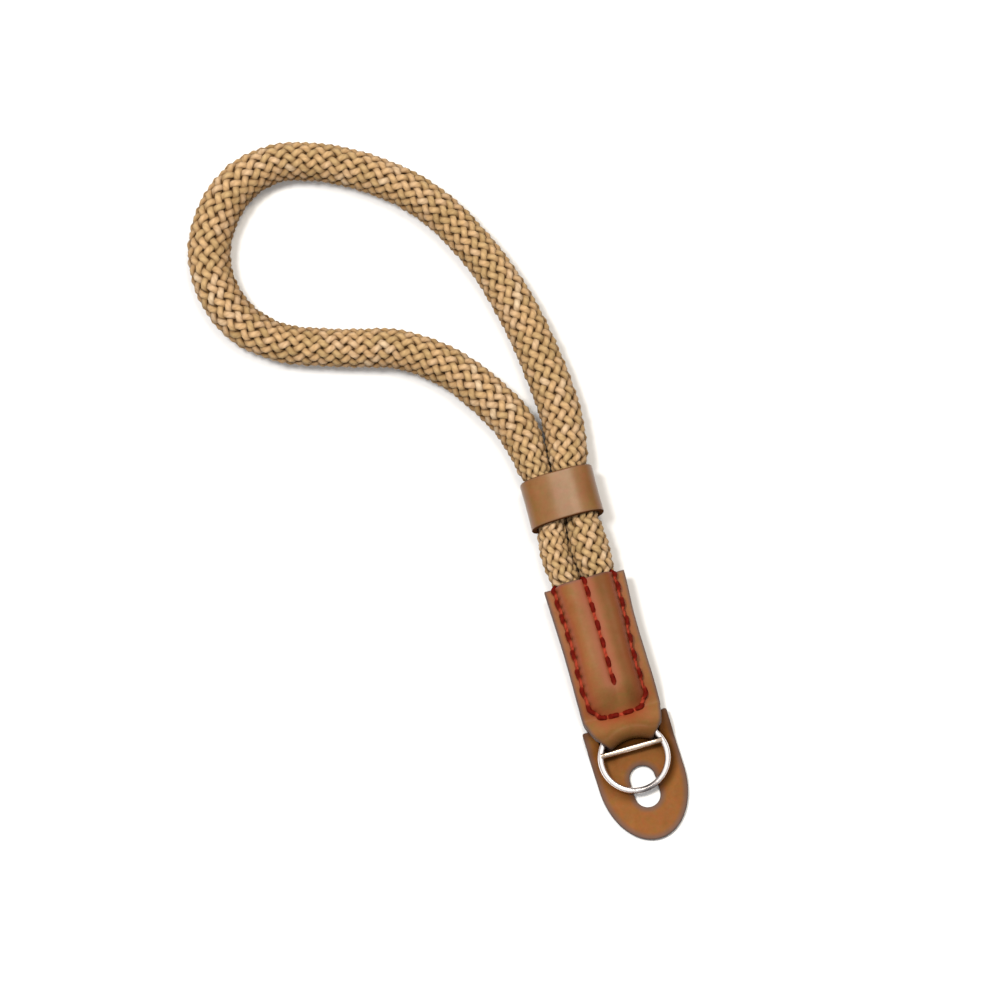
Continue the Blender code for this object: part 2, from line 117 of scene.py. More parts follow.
# At each of those points, how far outside it the braid's middle lies, and the braid's width as a share: the
# soft rope is fuller where it bends.
LOOP_SHIFTS = (
    -0.2, -0.5, -1.0, -0.74, 0.0, -0.13, 0.07, -0.2, -0.45, -0.45,
    0.07, 0.25, 0.2, 0.33, 0.2, 0.13, 0.2, -0.07, 0.27, 0.1,
)
LOOP_WIDTHS = (
    1.04, 1.05, 1.01, 0.99, 0.95, 0.96, 1.03, 1.05, 1.08, 1.08,
    1.05, 0.97, 0.96, 0.965, 0.965, 0.96, 1.03, 1.06, 1.05, 1.02,
)

# Both strands where they run side by side, up from their ends: the stretch, the place down it, the two
# middles as shares of the channels' spacing, and the rest as shares of the rope's diameter.
STRAND_COLUMNS = ("stretch", "share", "left", "right", "left_width", "right_width", "height", "rise")
STRAND_ROWS = (
    ("sleeve", 1.00, -0.50, 0.50, 0.44, 0.44, 0.42, 0.455),
    ("sleeve", 0.80, -0.50, 0.47, 0.50, 0.46, 0.64, 0.520),
    ("sleeve", 0.45, -0.49, 0.47, 0.51, 0.46, 0.72, 0.540),
    ("sleeve", 0.15, -0.50, 0.485, 0.53, 0.52, 0.73, 0.549),
    ("sleeve", 0.00, -0.52, 0.50, 0.66, 0.69, 0.76, 0.549),
    ("neck", 0.90, -0.62, 0.44, 0.74, 0.87, 0.90, 0.560),
    ("neck", 0.50, -0.695, 0.40, 0.77, 0.99, 0.98, 0.590),
    ("neck", 0.12, -0.625, 0.42, 0.735, 0.91, 0.94, 0.620),
    ("keeper", 1.03, -0.535, 0.447, 0.66, 0.80, 0.91, 0.628),
    ("keeper", -0.03, -0.535, 0.447, 0.66, 0.80, 0.91, 0.628),
    ("above", 0.30, -0.57, 0.55, 0.83, 0.99, 0.96, 0.600),
)

# The braid: as many strands each way, over one and under one. The pitch is along the rope, between the
# floats of one column.
STRANDS = 10
CROSSING_PITCH = 4.1
STRAND_THICKNESS = 1.5
STRAND_FILL = 0.76
# Each strand's section: angles round it from underneath, and its reach there, with a shallow groove on top.
STRAND_ANGLES = np.radians((-90, 210, 168, 130, 90, 50, 12, -30))
STRAND_REACHES = np.array((1.0, 1.0, 1.0, 1.06, 0.93, 1.06, 1.0, 1.0))
WAVE_POWER = 0.75
# What the strands vary by at random: sideways, outwards, and in tone from one to the next and along each.
WANDER_SPACING = 3.4
WANDER = 0.13
LOOSENESS = 0.08
TONE_SPREAD = 0.10
TONE_WANDER = 0.16
# Painted shade: how much darker a strand is at its flanks, at the rope's sides and inside the rope's bends.
FLANK_SHADE = 0.95
SIDE_SHADE = 0.6
BEND_SHADE = 0.55
BEND_RADIUS = 27.0
BEND_BLUR = 6.0
CURVE_SAMPLES = 24
CORE_DEPTH = 1.45 * STRAND_THICKNESS
CORE_SIDES = 14

# The sleeve down to its tab. The last three columns are shares of its height, its height and its width.
SLEEVE_COLUMNS = ("place", "seam", "swell", "edge")
SLEEVE_ROWS = (
    (0.00, 0.500, 0.500, 1.000),
    (0.20, 0.500, 0.500, 0.985),
    (0.40, 0.495, 0.495, 0.972),
    (0.58, 0.480, 0.480, 0.980),
    (0.69, 0.430, 0.430, 0.990),
    (0.76, 0.350, 0.320, 0.990),
    (0.82, 0.250, 0.165, 0.990),
    (0.86, 0.195, 0.117, 0.980),
)
# At shares of the tab's length, the share that is left of its extra width.
TAB_NARROWING = (
    (0.0, 0.96), (0.25, 0.80), (0.50, 0.57), (0.70, 0.38), (0.85, 0.22), (0.95, 0.10), (1.0, 0.0),
)
LOBE_VALLEY = 0.62
# Where the lobes' feet lie on each side: places along the strap, and distances from the sleeve's middle.
LEFT_FEET = (MOUTH, 37.0, 53.0, FOLD), (8.0, 7.7, 8.1, 8.1)
RIGHT_FEET = (MOUTH, 32.0, 42.0, 52.0, FOLD), (7.75, 7.5, 6.8, 6.55, 6.9)
RIGHT_TRIM = 0.22
LAYER_GAP = 0.05
NOSE = FOLD_HEIGHT / 2
NOSE_PLACE = FOLD - NOSE
NOSE_SQUARENESS = 2.1
TAB_START = MOUTH + SLEEVE_ROWS[-1][0] * SLEEVE_LENGTH

# The middles of the raised stitches, as (across from the sleeve's middle, along). The first of each row, and
# the last of the seam, go over the sleeve's mouth.
SEAM_STITCHES = (
    (-7.80, 23.7), (-7.75, 27.9), (-7.60, 32.1), (-7.45, 37.2), (-7.55, 42.4), (-7.85, 47.7), (-8.05, 52.6),
    (-7.80, 57.3), (-5.85, 60.3), (-2.60, 61.0), (1.60, 61.1), (5.05, 60.3), (6.65, 56.9), (6.20, 52.0),
    (6.15, 47.0), (6.45, 42.2), (7.00, 37.3), (7.15, 32.1), (7.30, 27.6), (7.35, 23.7),
)
MIDDLE_STITCHES = (
    (-0.40, 23.7), (-0.40, 27.2), (-0.33, 31.8), (-0.25, 36.9), (-0.38, 41.8), (-0.52, 47.2), (-0.50, 51.8),
)
STITCH_HALF = 1.15
THREAD = 1.3
THREAD_LAY = 1.9
YARN_LAY = 2.1
# How the stitches mark the leather: depths, and how far each mark reaches as the width of a bell. A needle's
# hole reaches along its stitch and beside it.
HOLE_DEPTH = 0.55
HOLE_REACHES = (0.40, 0.50)
THREAD_DEPTH = 0.40
THREAD_REACH = 0.70
DYE_REACH = 1.35
WAX_REACH = 1.9

# The leathers' lighter and darker tones, with their roughness, grain and gloss.
KEEPER_LOOK = (0.160, 0.073, 0.0225), (0.122, 0.051, 0.0125), 0.34, 0.15, 0.31
SLEEVE_LOOK = (0.171, 0.078, 0.0245), (0.134, 0.053, 0.0125), 0.46, 0.8, 0.14
FLAP_LOOK = (0.180, 0.067, 0.0115), (0.139, 0.048, 0.009), 0.48, 0.8, 0.12
# The darker rim at the cut edges: partly the edges' own tone, partly painted shade where they round away.
RIM_TONE_AND_SHADE = (0.085, 0.050, 0.040)
RED_DYE = (0.21, 0.030, 0.014)
PALE_WAX = (0.27, 0.105, 0.070)


# Plan and profiles


def plan(across, along, z):
    """Points of the strap's own plan, in the world, as an array whose last axis is x, y, z."""
    across, along, z = np.broadcast_arrays(across, along, z)
    c, s = math.cos(STRAP_ANGLE), math.sin(STRAP_ANGLE)
    return np.stack([across * c + along * s, across * s - along * c, z], axis=-1) + KEEPER_PLACE


def smooth_step(low, high, value):
    share = np.clip((value - low) / (high - low), 0.0, 1.0)
    return share * share * (3 - 2 * share)


def bell(value, width):
    return np.exp(-0.5 * (value / width) ** 2)


def circle(count):
    """Even angles all the way round."""
    return np.linspace(0, 2 * math.pi, count, endpoint=False)


def unit(vectors):
    return vectors / np.maximum(np.linalg.norm(vectors, axis=-1, keepdims=True), 1e-9)


def run_along(line):
    """How far along a line each of its points lies."""
    return np.concatenate([[0.0], np.cumsum(np.linalg.norm(np.diff(line, axis=0), axis=1))])


def points_at(wanted, places, line):
    """Points of a line at the wanted places, from its own points and their places."""
    return np.stack([np.interp(wanted, places, line[:, k]) for k in range(line.shape[1])], axis=-1)


def softened(values, step, reach):
    """A profile blurred over a length of reach, with its ends held."""
    half = max(1, int(3 * reach / step))
    kernel = bell(np.arange(-half, half + 1) * step, reach)
    padded = np.concatenate([np.full(half, values[0]), values, np.full(half, values[-1])])
    return np.convolve(padded, kernel / kernel.sum(), mode="valid")


def between(table, value, reach=None):
    """The values of a line through (place, value) pairs, with its corners rounded off over a reach."""
    places = np.array([row[0] for row in table], float)
    values = np.array([row[1] for row in table], float)
    step = (places[-1] - places[0]) / 800
    fine = np.arange(places[0], places[-1] + step / 2, step)
    return np.interp(value, fine, softened(np.interp(fine, places, values), step, reach or 18 * step))


def ring_arc(across, radius):
    offset = np.minimum(np.abs(across), 0.95 * radius)
    return RING_MIDDLE - np.sqrt(radius**2 - offset**2)


def fold_edge(across):
    """Along the strap, the edge of the fold, which is bent like the ring's arc."""
    bent_width = np.minimum(np.abs(across), FOLD_WIDTH / 2)
    return FOLD + FOLD_BEND * (ring_arc(bent_width, RING_DIAMETER / 2) - RING_TOP)


# Meshes


def linked(name, data):
    """A new object, linked to the scene."""
    added = bpy.data.objects.new(name, data)
    bpy.context.scene.collection.objects.link(added)
    return added


def make_piece(name, points, faces, materials, attributes, indices=None, crease=None):
    """An object riding on the strap's one body, from arrays of points and arrays of faces."""
    mesh = bpy.data.meshes.new(name)
    points = np.concatenate([np.reshape(part, (-1, 3)) for part in points])
    sizes = np.concatenate([np.full(len(part), part.shape[1]) for part in faces])
    corners = np.concatenate([part.ravel() for part in faces])
    mesh.vertices.add(len(points))
    mesh.vertices.foreach_set("co", (points * MM).astype(np.float32).ravel())
    mesh.loops.add(len(corners))
    mesh.loops.foreach_set("vertex_index", corners.astype(np.int32))
    mesh.polygons.add(len(sizes))
    starts = np.concatenate([[0], np.cumsum(sizes)[:-1]]).astype(np.int32)
    mesh.polygons.foreach_set("loop_start", starts)
    mesh.update(calc_edges=True)
    mesh.validate()
    mesh.shade_smooth()
    if crease:
        mesh.set_sharp_from_angle(angle=math.radians(crease))
    for material in materials:
        mesh.materials.append(material)
    if indices is not None:
        mesh.polygons.foreach_set("material_index", np.asarray(indices, np.int32))
    for key, values in attributes.items():
        layer = mesh.attributes.new(key, "FLOAT", "POINT")
        layer.data.foreach_set("value", np.asarray(values, np.float32))
    piece = linked(name, mesh)
    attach(piece, "root")
    return piece


def grid_faces(rows, columns, wrap=False, start=0, flip=False):
    """Quads over a grid of points."""
    wide = columns if wrap else columns - 1
    row, column = np.meshgrid(np.arange(rows - 1), np.arange(wide), indexing="ij")
    after = (column + 1) % columns
    a = start + row * columns + column
    b = start + row * columns + after
    quads = np.stack([a, b, b + columns, a + columns], axis=-1).reshape(-1, 4)
    return quads[:, ::-1] if flip else quads


def grid_normals(grid, wrap=False):
    """Normals of a grid of points, from its columns' and rows' directions."""
    if wrap:
        wide = np.concatenate([grid[:, -1:], grid, grid[:, :1]], axis=1)
        across = np.gradient(wide, axis=1)[:, 1:-1]
    else:
        across = np.gradient(grid, axis=1)
    return unit(np.cross(across, np.gradient(grid, axis=0)))


def both_sides(grid, normals, half, wrap=False):
    """The points and faces of a sheet on both sides of a grid of middles."""
    rows, columns = grid.shape[:2]
    lift = normals * half[..., None]
    outer = grid_faces(rows, columns, wrap, flip=True)
    inner = grid_faces(rows, columns, wrap, start=rows * columns)
    return (grid + lift, grid - lift), (outer, inner)


def twice(values):
    """Values of a grid, for both sides of a sheet."""
    return np.tile(values.ravel(), 2)


# How far from a cut edge the rows of points lie that round it.
EDGE_STEPS = (0.0, 0.03, 0.1, 0.2, 0.32, 0.45)
EDGE_REACH = EDGE_STEPS[-1]


def edge_round(distance, power=2.6):
    """Half a sheet's thickness near its cut edge, as a share of the full half."""
    share = 1 - np.clip(distance / EDGE_REACH, 0.0, 1.0)
    return (1 - share**power) ** (1 / power)


def edged(low, high, step):
    """Places from low to high about a step apart, and close together at the rounded edges at both ends."""
    room = high - low - 2 * EDGE_REACH
    inner = np.arange(1, max(2, round(room / step))) * 1.0
    inner = low + EDGE_REACH + inner / (inner[-1] + 1) * room
    return np.concatenate([low + np.array(EDGE_STEPS), inner, high - np.array(EDGE_STEPS)[::-1]])


def sections(line, beside, over, angles, wide, tall):
    """Rows of points round a line, at angles from one direction to the other, with a reach in each."""
    beside, over = (np.broadcast_to(way, line.shape)[:, None] for way in (beside, over))
    sideways = beside * (np.cos(angles) * wide)[..., None]
    return line[:, None] + sideways + over * (np.sin(angles) * tall)[..., None]


class Tubes:
    """Tubes gathered for one mesh, with attributes of their points."""

    def __init__(self):
        self.points, self.faces, self.kept, self.count = [], [], {}, 0

    def add(self, rows, capped=False, closed=False, **attributes):
        """Add a tube from its rows of points, with attributes as values that spread over them."""
        length, sides = rows.shape[:2]
        self.points.append(rows)
        self.faces.append(grid_faces(length, sides, wrap=True, start=self.count))
        first = self.count + np.arange(sides)
        last = first + (length - 1) * sides
        if capped:
            self.faces += [first[None], last[None, ::-1]]
        if closed:
            self.faces.append(np.stack([last, np.roll(last, -1), np.roll(first, -1), first], axis=-1))
        for key, values in attributes.items():
            self.kept.setdefault(key, []).append(np.broadcast_to(values, (length, sides)).ravel())
        self.count += length * sides

    def attributes(self):
        return {key: np.concatenate(parts) for key, parts in self.kept.items()}


# Materials


class Nodes:
    """A new Principled material, and short ways to add nodes to it."""

    def __init__(self, name):
        self.material = bpy.data.materials.new(name)
        self.material.use_nodes = True
        self.tree = self.material.node_tree
        self.shader = self.tree.nodes["Principled BSDF"]

    def add(self, kind, settings=None, **inputs):
        """A node with settings as its properties, and inputs as values or as sockets to link."""
        node = self.tree.nodes.new(kind)
        for key, value in (settings or {}).items():
            setattr(node, key, value)
        for key, value in inputs.items():
            self.put(node, key.replace("_", " "), value)
        return node

    def put(self, node, key, value):
        socket = node.inputs[key]
        if isinstance(value, bpy.types.NodeSocket):
            self.tree.links.new(value, socket)
        elif isinstance(value, tuple) and socket.type == "RGBA":
            socket.default_value = (*value, 1.0)
        else:
            socket.default_value = value

    def fill(self, node, *values):
        for index, value in enumerate(values):
            self.put(node, index, value)
        return node

    def position(self, scale=(1.0, 1.0, 1.0)):
        """The place on the piece in millimetres, times a scale."""
        coordinates = self.add("ShaderNodeTexCoord").outputs["Object"]
        factor = tuple(1 / MM * s for s in scale)
        return self.add("ShaderNodeMapping", Vector=coordinates, Scale=factor).outputs["Vector"]

    def attribute(self, name):
        return self.add("ShaderNodeAttribute", {"attribute_name": name}).outputs["Fac"]

    def noise(self, vector, scale, detail=3.0, roughness=0.55, distortion=0.0):
        node = self.add("ShaderNodeTexNoise", Vector=vector, Scale=scale, Detail=detail, Roughness=roughness,
                        Distortion=distortion)
        return node.outputs["Fac"]

    def ranged(self, value, low, high, to_low, to_high):
        node = self.fill(self.add("ShaderNodeMapRange"), value, low, high, to_low, to_high)
        return node.outputs["Result"]

    def maths(self, operation, a, b=0.0):
        return self.fill(self.add("ShaderNodeMath", {"operation": operation}), a, b).outputs["Value"]

    def weighed(self, a, a_weight, b, b_weight):
        return self.maths("ADD", self.maths("MULTIPLY", a, a_weight), self.maths("MULTIPLY", b, b_weight))

    def plies(self, run, around, lay, count):
        """A wave over the plies of a twisted yarn, from attributes along it and round it."""
        turn = self.weighed(run, 1 / lay, around, count)
        return self.maths("SINE", self.maths("MULTIPLY", turn, 2 * math.pi))

    def ramp(self, value, *stops):
        """Colours by place: stops are (place, (r, g, b)) pairs."""
        node = self.add("ShaderNodeValToRGB", Fac=value)
        elements = node.color_ramp.elements
        while len(elements) < len(stops):
            elements.new(0.5)
        for element, (place, colour) in zip(elements, stops):
            element.position = place
            element.color = (*colour, 1.0)
        return node.outputs["Color"]

    def blend(self, factor, a, b, mode="MIX"):
        node = self.add("ShaderNodeMix", {"data_type": "RGBA", "blend_type": mode})
        for index, item in ((0, factor), (6, a), (7, b)):
            self.put(node, index, item)
        return node.outputs[2]

    def bump(self, height, strength, distance, normal=None):
        node = self.add("ShaderNodeBump", Height=height, Strength=strength, Distance=distance * MM)
        if normal is not None:
            self.put(node, "Normal", normal)
        return node.outputs["Normal"]

    def finish(self, **inputs):
        for key, value in inputs.items():
            self.put(self.shader, key.replace("_", " "), value)
        return self.material


def darker(colour, share):
    return tuple(share * c for c in colour)


def leather_material(name, light, dark, roughness, grain, gloss):
    """Smooth tanned leather: mottled colour, fine pores, faint creases and a darker rim, partly painted
    shade.

    The attributes rim, blush and pale mark it. One more is painted shade and shadow: it darkens the leather
    and takes away most of its gloss. One that a piece doesn't have counts as nothing.
    """
    n = Nodes(name)
    place = n.position()
    broad = n.noise(place, 0.16, 4.0, 0.6, 0.4)
    mottle = n.weighed(broad, 0.72, n.noise(place, 1.3, 5.0, 0.65), 0.28)
    middle = tuple((a + b) / 2 for a, b in zip(light, dark))
    colour = n.ramp(mottle, (0.32, dark), (0.52, middle), (0.70, light))
    patches = n.noise(place, 0.42, 3.0, 0.6, 0.6)
    tint = n.ramp(patches, (0.30, (0.86, 1.06, 0.90)), (0.50, (1.0, 1.0, 1.0)), (0.70, (1.12, 0.92, 1.06)))
    colour = n.blend(0.8, colour, tint, "MULTIPLY")
    cells = n.add("ShaderNodeTexVoronoi", {"feature": "F1", "distance": "EUCLIDEAN"},
                  Vector=place, Scale=2.3, Randomness=1.0)
    pore = n.ranged(cells.outputs["Distance"], 0.0, 0.22, 1.0, 0.0)
    colour = n.blend(n.maths("MULTIPLY", pore, 0.22), colour, darker(dark, 0.45))
    colour = n.blend(n.ranged(n.attribute("rim"), 0.05, 0.75, 0.0, 0.85), colour, RIM_TONE_AND_SHADE)
    colour = n.blend(n.attribute("blush"), colour, RED_DYE)
    colour = n.blend(n.attribute("pale"), colour, PALE_WAX)
    # Painted shade and shadow: a darker colour here, and less gloss below.
    painted_shade = n.attribute("painted_shade")
    colour = n.blend(painted_shade, colour, darker(dark, 0.30))
    wrinkles = n.noise(n.position((0.5, 1.6, 1.0)), 0.9, 6.0, 0.7, 1.2)
    normal = n.bump(n.weighed(wrinkles, 0.7, pore, -0.5), 0.32 * grain, 0.10)
    normal = n.bump(n.noise(place, 5.0, 4.0, 0.7), 0.22 * grain, 0.05, normal)
    shadow_offset = n.noise(place, 0.7, 4.0, 0.6)
    shine = n.ranged(shadow_offset, 0.3, 0.7, roughness - 0.08 * grain, roughness + 0.10 * grain)
    polish = n.ranged(painted_shade, 0.0, 0.8, gloss, 0.15 * gloss)
    return n.finish(Base_Color=colour, Roughness=shine, Normal=normal, Specular_IOR_Level=polish)


def edge_material(name, colour, gloss):
    """The cut edge of leather, rubbed smooth and darker than its face."""
    n = Nodes(name)
    fibres = n.noise(n.position((1.0, 1.0, 3.5)), 1.9, 5.0, 0.7)
    tone = n.ramp(fibres, (0.30, darker(colour, 0.55)), (0.72, colour))
    shine = n.ranged(n.noise(n.position(), 1.2), 0.3, 0.7, 0.42, 0.6)
    normal = n.bump(fibres, 0.4, 0.08)
    return n.finish(Base_Color=tone, Roughness=shine, Normal=normal, Specular_IOR_Level=gloss)


def leather_pair(name, look, edge, gloss=0.5):
    """A leather and its cut edge."""
    return [leather_material(name + "_leather", *look), edge_material(name + "_edge", edge, gloss)]


def rope_material():
    """Soft tan yarns, each its own tone, twisted and fibrous.

    Painted shade darkens a yarn where it dips under another, at its flanks, at the rope's sides, inside
    the rope's bends and in the grooves between its plies.
    """
    n = Nodes("tan_braided_rope")
    lift, tone, run, around = (n.attribute(key) for key in ("lift", "tone", "run", "around"))
    cloud = n.noise(n.position(), 0.22, 3.0, 0.6)
    colour = n.ramp(
        n.weighed(tone, 0.62, cloud, 0.38),
        (0.22, (0.30, 0.205, 0.095)),
        (0.40, (0.385, 0.265, 0.132)),
        (0.50, (0.435, 0.285, 0.147)),
        (0.60, (0.450, 0.310, 0.185)),
        (0.78, (0.50, 0.385, 0.255)),
    )
    ply = n.plies(run, around, YARN_LAY, 2.0)
    slant = n.maths("ADD", around, n.maths("MULTIPLY", run, 0.18))
    along, across = n.maths("MULTIPLY", run, 0.8), n.maths("MULTIPLY", slant, 9.0)
    fibre_place = n.add("ShaderNodeCombineXYZ", X=along, Y=across, Z=tone).outputs["Vector"]
    fibres = n.noise(fibre_place, 2.4, 4.0, 0.7)
    # Painted shade from the lift attribute.
    shade = n.maths("POWER", n.ranged(lift, -0.9, 0.85, 1.0, 0.0), 0.9)
    colour = n.blend(shade, colour, (0.080, 0.036, 0.009))
    # Painted shade in the grooves between the plies.
    colour = n.blend(n.ranged(ply, -1.0, -0.2, 0.22, 0.0), colour, (0.15, 0.075, 0.028))
    colour = n.blend(n.ranged(fibres, 0.30, 0.62, 0.30, 0.0), colour, (0.20, 0.115, 0.045))
    normal = n.bump(n.weighed(ply, 0.35, fibres, 0.9), 0.75, 0.16)
    return n.finish(
        Base_Color=colour, Roughness=0.88, Normal=normal, Specular_IOR_Level=0.18,
        Sheen_Weight=0.07, Sheen_Roughness=0.5, Sheen_Tint=(0.95, 0.80, 0.60),
    )


# Painted shade: the core's dark tone stands for the shade seen through the gaps between the yarns.
def core_shade_material():
    n = Nodes("rope_core_painted_shade")
    tone = n.ramp(n.noise(n.position(), 1.5), (0.3, (0.065, 0.030, 0.009)), (0.7, (0.120, 0.060, 0.021)))
    return n.finish(Base_Color=tone, Roughness=0.95)


def thread_material():
    """Thick waxed red thread, twisted: deep red along each stitch and paler where it is drawn thin."""
    n = Nodes("red_thread")
    cloud = n.noise(n.position(), 1.1, 3.0)
    deep = n.ramp(cloud, (0.3, (0.062, 0.003, 0.001)), (0.7, (0.110, 0.005, 0.002)))
    tone = n.blend(n.attribute("link"), deep, (0.23, 0.030, 0.014))
    ply = n.plies(n.attribute("run"), n.attribute("around"), THREAD_LAY, 3.0)
    # Painted shade in the grooves between the plies.
    tone = n.blend(n.ranged(ply, -1.0, 0.0, 0.4, 0.0), tone, (0.05, 0.002, 0.001))
    fibres = n.noise(n.position((2.0, 2.0, 2.0)), 6.0, 3.0)
    normal = n.bump(n.maths("ADD", ply, fibres), 0.5, 0.08)
    return n.finish(Base_Color=tone, Roughness=0.6, Normal=normal, Specular_IOR_Level=0.05)


def metal_material():
    """Bright plated wire with faint rubbing marks.

    The bar is warm in tone and darker at its ends, partly solder and partly painted shade under the fold.
    A painted darker reflection lies where the wire crosses over the flap's hole.
    """
    n = Nodes("bright_metal")
    place = n.position()
    tone = n.ramp(n.noise(place, 0.8, 3.0), (0.3, (0.85, 0.78, 0.77)), (0.7, (0.93, 0.88, 0.87)))
    # Warm along the bar and darker at its ends: partly solder, partly painted shade under the fold.
    solder = n.attribute("solder")
    warm = n.ramp(solder, (0.30, (0.74, 0.58, 0.45)), (0.80, (0.36, 0.26, 0.18)))
    tone = n.blend(n.ranged(solder, 0.0, 0.30, 0.0, 0.85), tone, warm)
    # Painted darker reflection where the wire crosses over the flap's hole.
    tone = n.blend(n.attribute("dull"), tone, (0.15, 0.145, 0.155))
    shine = n.ranged(n.noise(place, 2.2, 5.0, 0.7), 0.3, 0.75, 0.12, 0.24)
    normal = n.bump(n.noise(place, 7.0, 3.0), 0.05, 0.03)
    return n.finish(Base_Color=tone, Roughness=shine, Metallic=1.0, Normal=normal)


# Camera


def make_camera():
    """A far camera, nearly overhead, so that the strap shows almost without perspective."""
    elevation, distance, width, sensor = math.radians(78.0), 10.0, 0.270, 36.0
    target = Vector((0.0166, -0.0016, 0.0))
    data = bpy.data.cameras.new("camera")
    data.type = "PERSP"
    data.sensor_width = sensor
    data.lens = sensor * distance / width
    data.clip_start, data.clip_end = 0.1, 40.0
    camera = linked("camera", data)
    camera.location = target + Vector((0.0, -math.cos(elevation), math.sin(elevation))) * distance
    camera.rotation_euler = (math.pi / 2 - elevation, 0.0, 0.0)
    bpy.context.scene.camera = camera


make_camera()


# Rope


def strand_place(stretch, share):
    return {
        "sleeve": MOUTH + share * ROPE_IN_SLEEVE,
        "neck": KEEPER_LENGTH / 2 + share * NECK_LENGTH,
        "keeper": KEEPER_LENGTH * (share - 0.5),
        "above": -KEEPER_LENGTH / 2 - share * KEEPER_LENGTH,
    }[stretch]


def rope_knots():
    """The rope's route, as arrays of middles, half widths and half heights."""
    radius = ROPE_DIAMETER / 2
    sides = {"left": [], "right": []}
    for values in STRAND_ROWS:
        row = dict(zip(STRAND_COLUMNS, values))
        along = strand_place(row["stretch"], row["share"])
        shift = SLEEVE_SHIFT if row["stretch"] == "sleeve" else 0.0
        for side, kept in sides.items():
            middle = plan(row[side] * CHANNEL_SPACING + shift, along, row["rise"] * ROPE_DIAMETER)
            kept.append((middle, row[side + "_width"] * radius, row["height"] * radius))
    route = np.array(LOOP_ROUTE)
    heading = unit(np.gradient(route, axis=0))
    route += np.stack([-heading[:, 1], heading[:, 0]], axis=-1) * np.array(LOOP_SHIFTS)[:, None]
    loop = [(np.array([x, y, radius]), share * radius, radius) for (x, y), share in zip(route, LOOP_WIDTHS)]
    knots = sides["left"] + loop + sides["right"][::-1]
    return [np.array([knot[k] for knot in knots]) for k in range(3)]


def curve_through(knots, samples):
    """Points on a smooth, centripetal curve through all the knots, with as many in each span."""
    line = np.concatenate([[2 * knots[0] - knots[1]], knots, [2 * knots[-1] - knots[-2]]])
    points = []
    for span in range(len(knots) - 1):
        chosen = line[span:span + 4]
        times = np.concatenate([[0.0], np.cumsum(np.sqrt(np.linalg.norm(np.diff(chosen, axis=0), axis=1)))])
        t = np.linspace(times[1], times[2], samples, endpoint=False)[:, None]

        def mix(a, b, low, high):
            return a * ((high - t) / (high - low)) + b * ((t - low) / (high - low))

        first = [mix(chosen[i], chosen[i + 1], times[i], times[i + 1]) for i in range(3)]
        second = [mix(first[i], first[i + 1], times[i], times[i + 2]) for i in range(2)]
        points.append(mix(second[0], second[1], times[1], times[2]))
    return np.concatenate([*points, [knots[-1]]])


class RopeLine:
    """The rope's middle line at small steps, and its sections there."""

    def __init__(self):
        middles, wides, talls = rope_knots()
        self.points = curve_through(middles, CURVE_SAMPLES)
        knots = np.arange(len(middles))
        blends = np.linspace(0, len(middles) - 1, len(self.points))
        whole = np.minimum(blends.astype(int), len(middles) - 2)
        blends = whole + smooth_step(0.0, 1.0, blends - whole)
        self.points[:, 2] = np.interp(blends, knots, middles[:, 2])
        self.places = run_along(self.points)
        self.total = self.places[-1]
        self.sides = unit(np.cross(unit(np.gradient(self.points, axis=0)), UP))
        self.wides, self.talls = np.interp(blends, knots, wides), np.interp(blends, knots, talls)

    def at(self, where):
        """Middles, directions to the side, half widths and half heights at places along the rope."""
        return (
            points_at(where, self.places, self.points), unit(points_at(where, self.places, self.sides)),
            np.interp(where, self.places, self.wides), np.interp(where, self.places, self.talls),
        )

    def bend(self, where):
        """How sharply the rope bends at places along it, from -1 to 1."""
        even = np.linspace(0.0, self.total, 400)
        middles, sides = self.at(even)[:2]
        heading = unit(np.gradient(middles, axis=0))
        curving = softened(np.sum(np.gradient(heading, even, axis=0) * sides, axis=1), even[1], BEND_BLUR)
        return np.clip(np.interp(where, even, curving) * BEND_RADIUS, -1.0, 1.0)


def rope_samples(total):
    """Places along the rope for the yarns' sections: far apart where the sleeve hides them."""
    hidden = ROPE_IN_SLEEVE - 5.0
    ends = np.arange(0.0, hidden, 3.0)
    middle = np.arange(hidden, total - hidden, CROSSING_PITCH / 6)
    return np.concatenate([ends, middle, total - ends[::-1]])


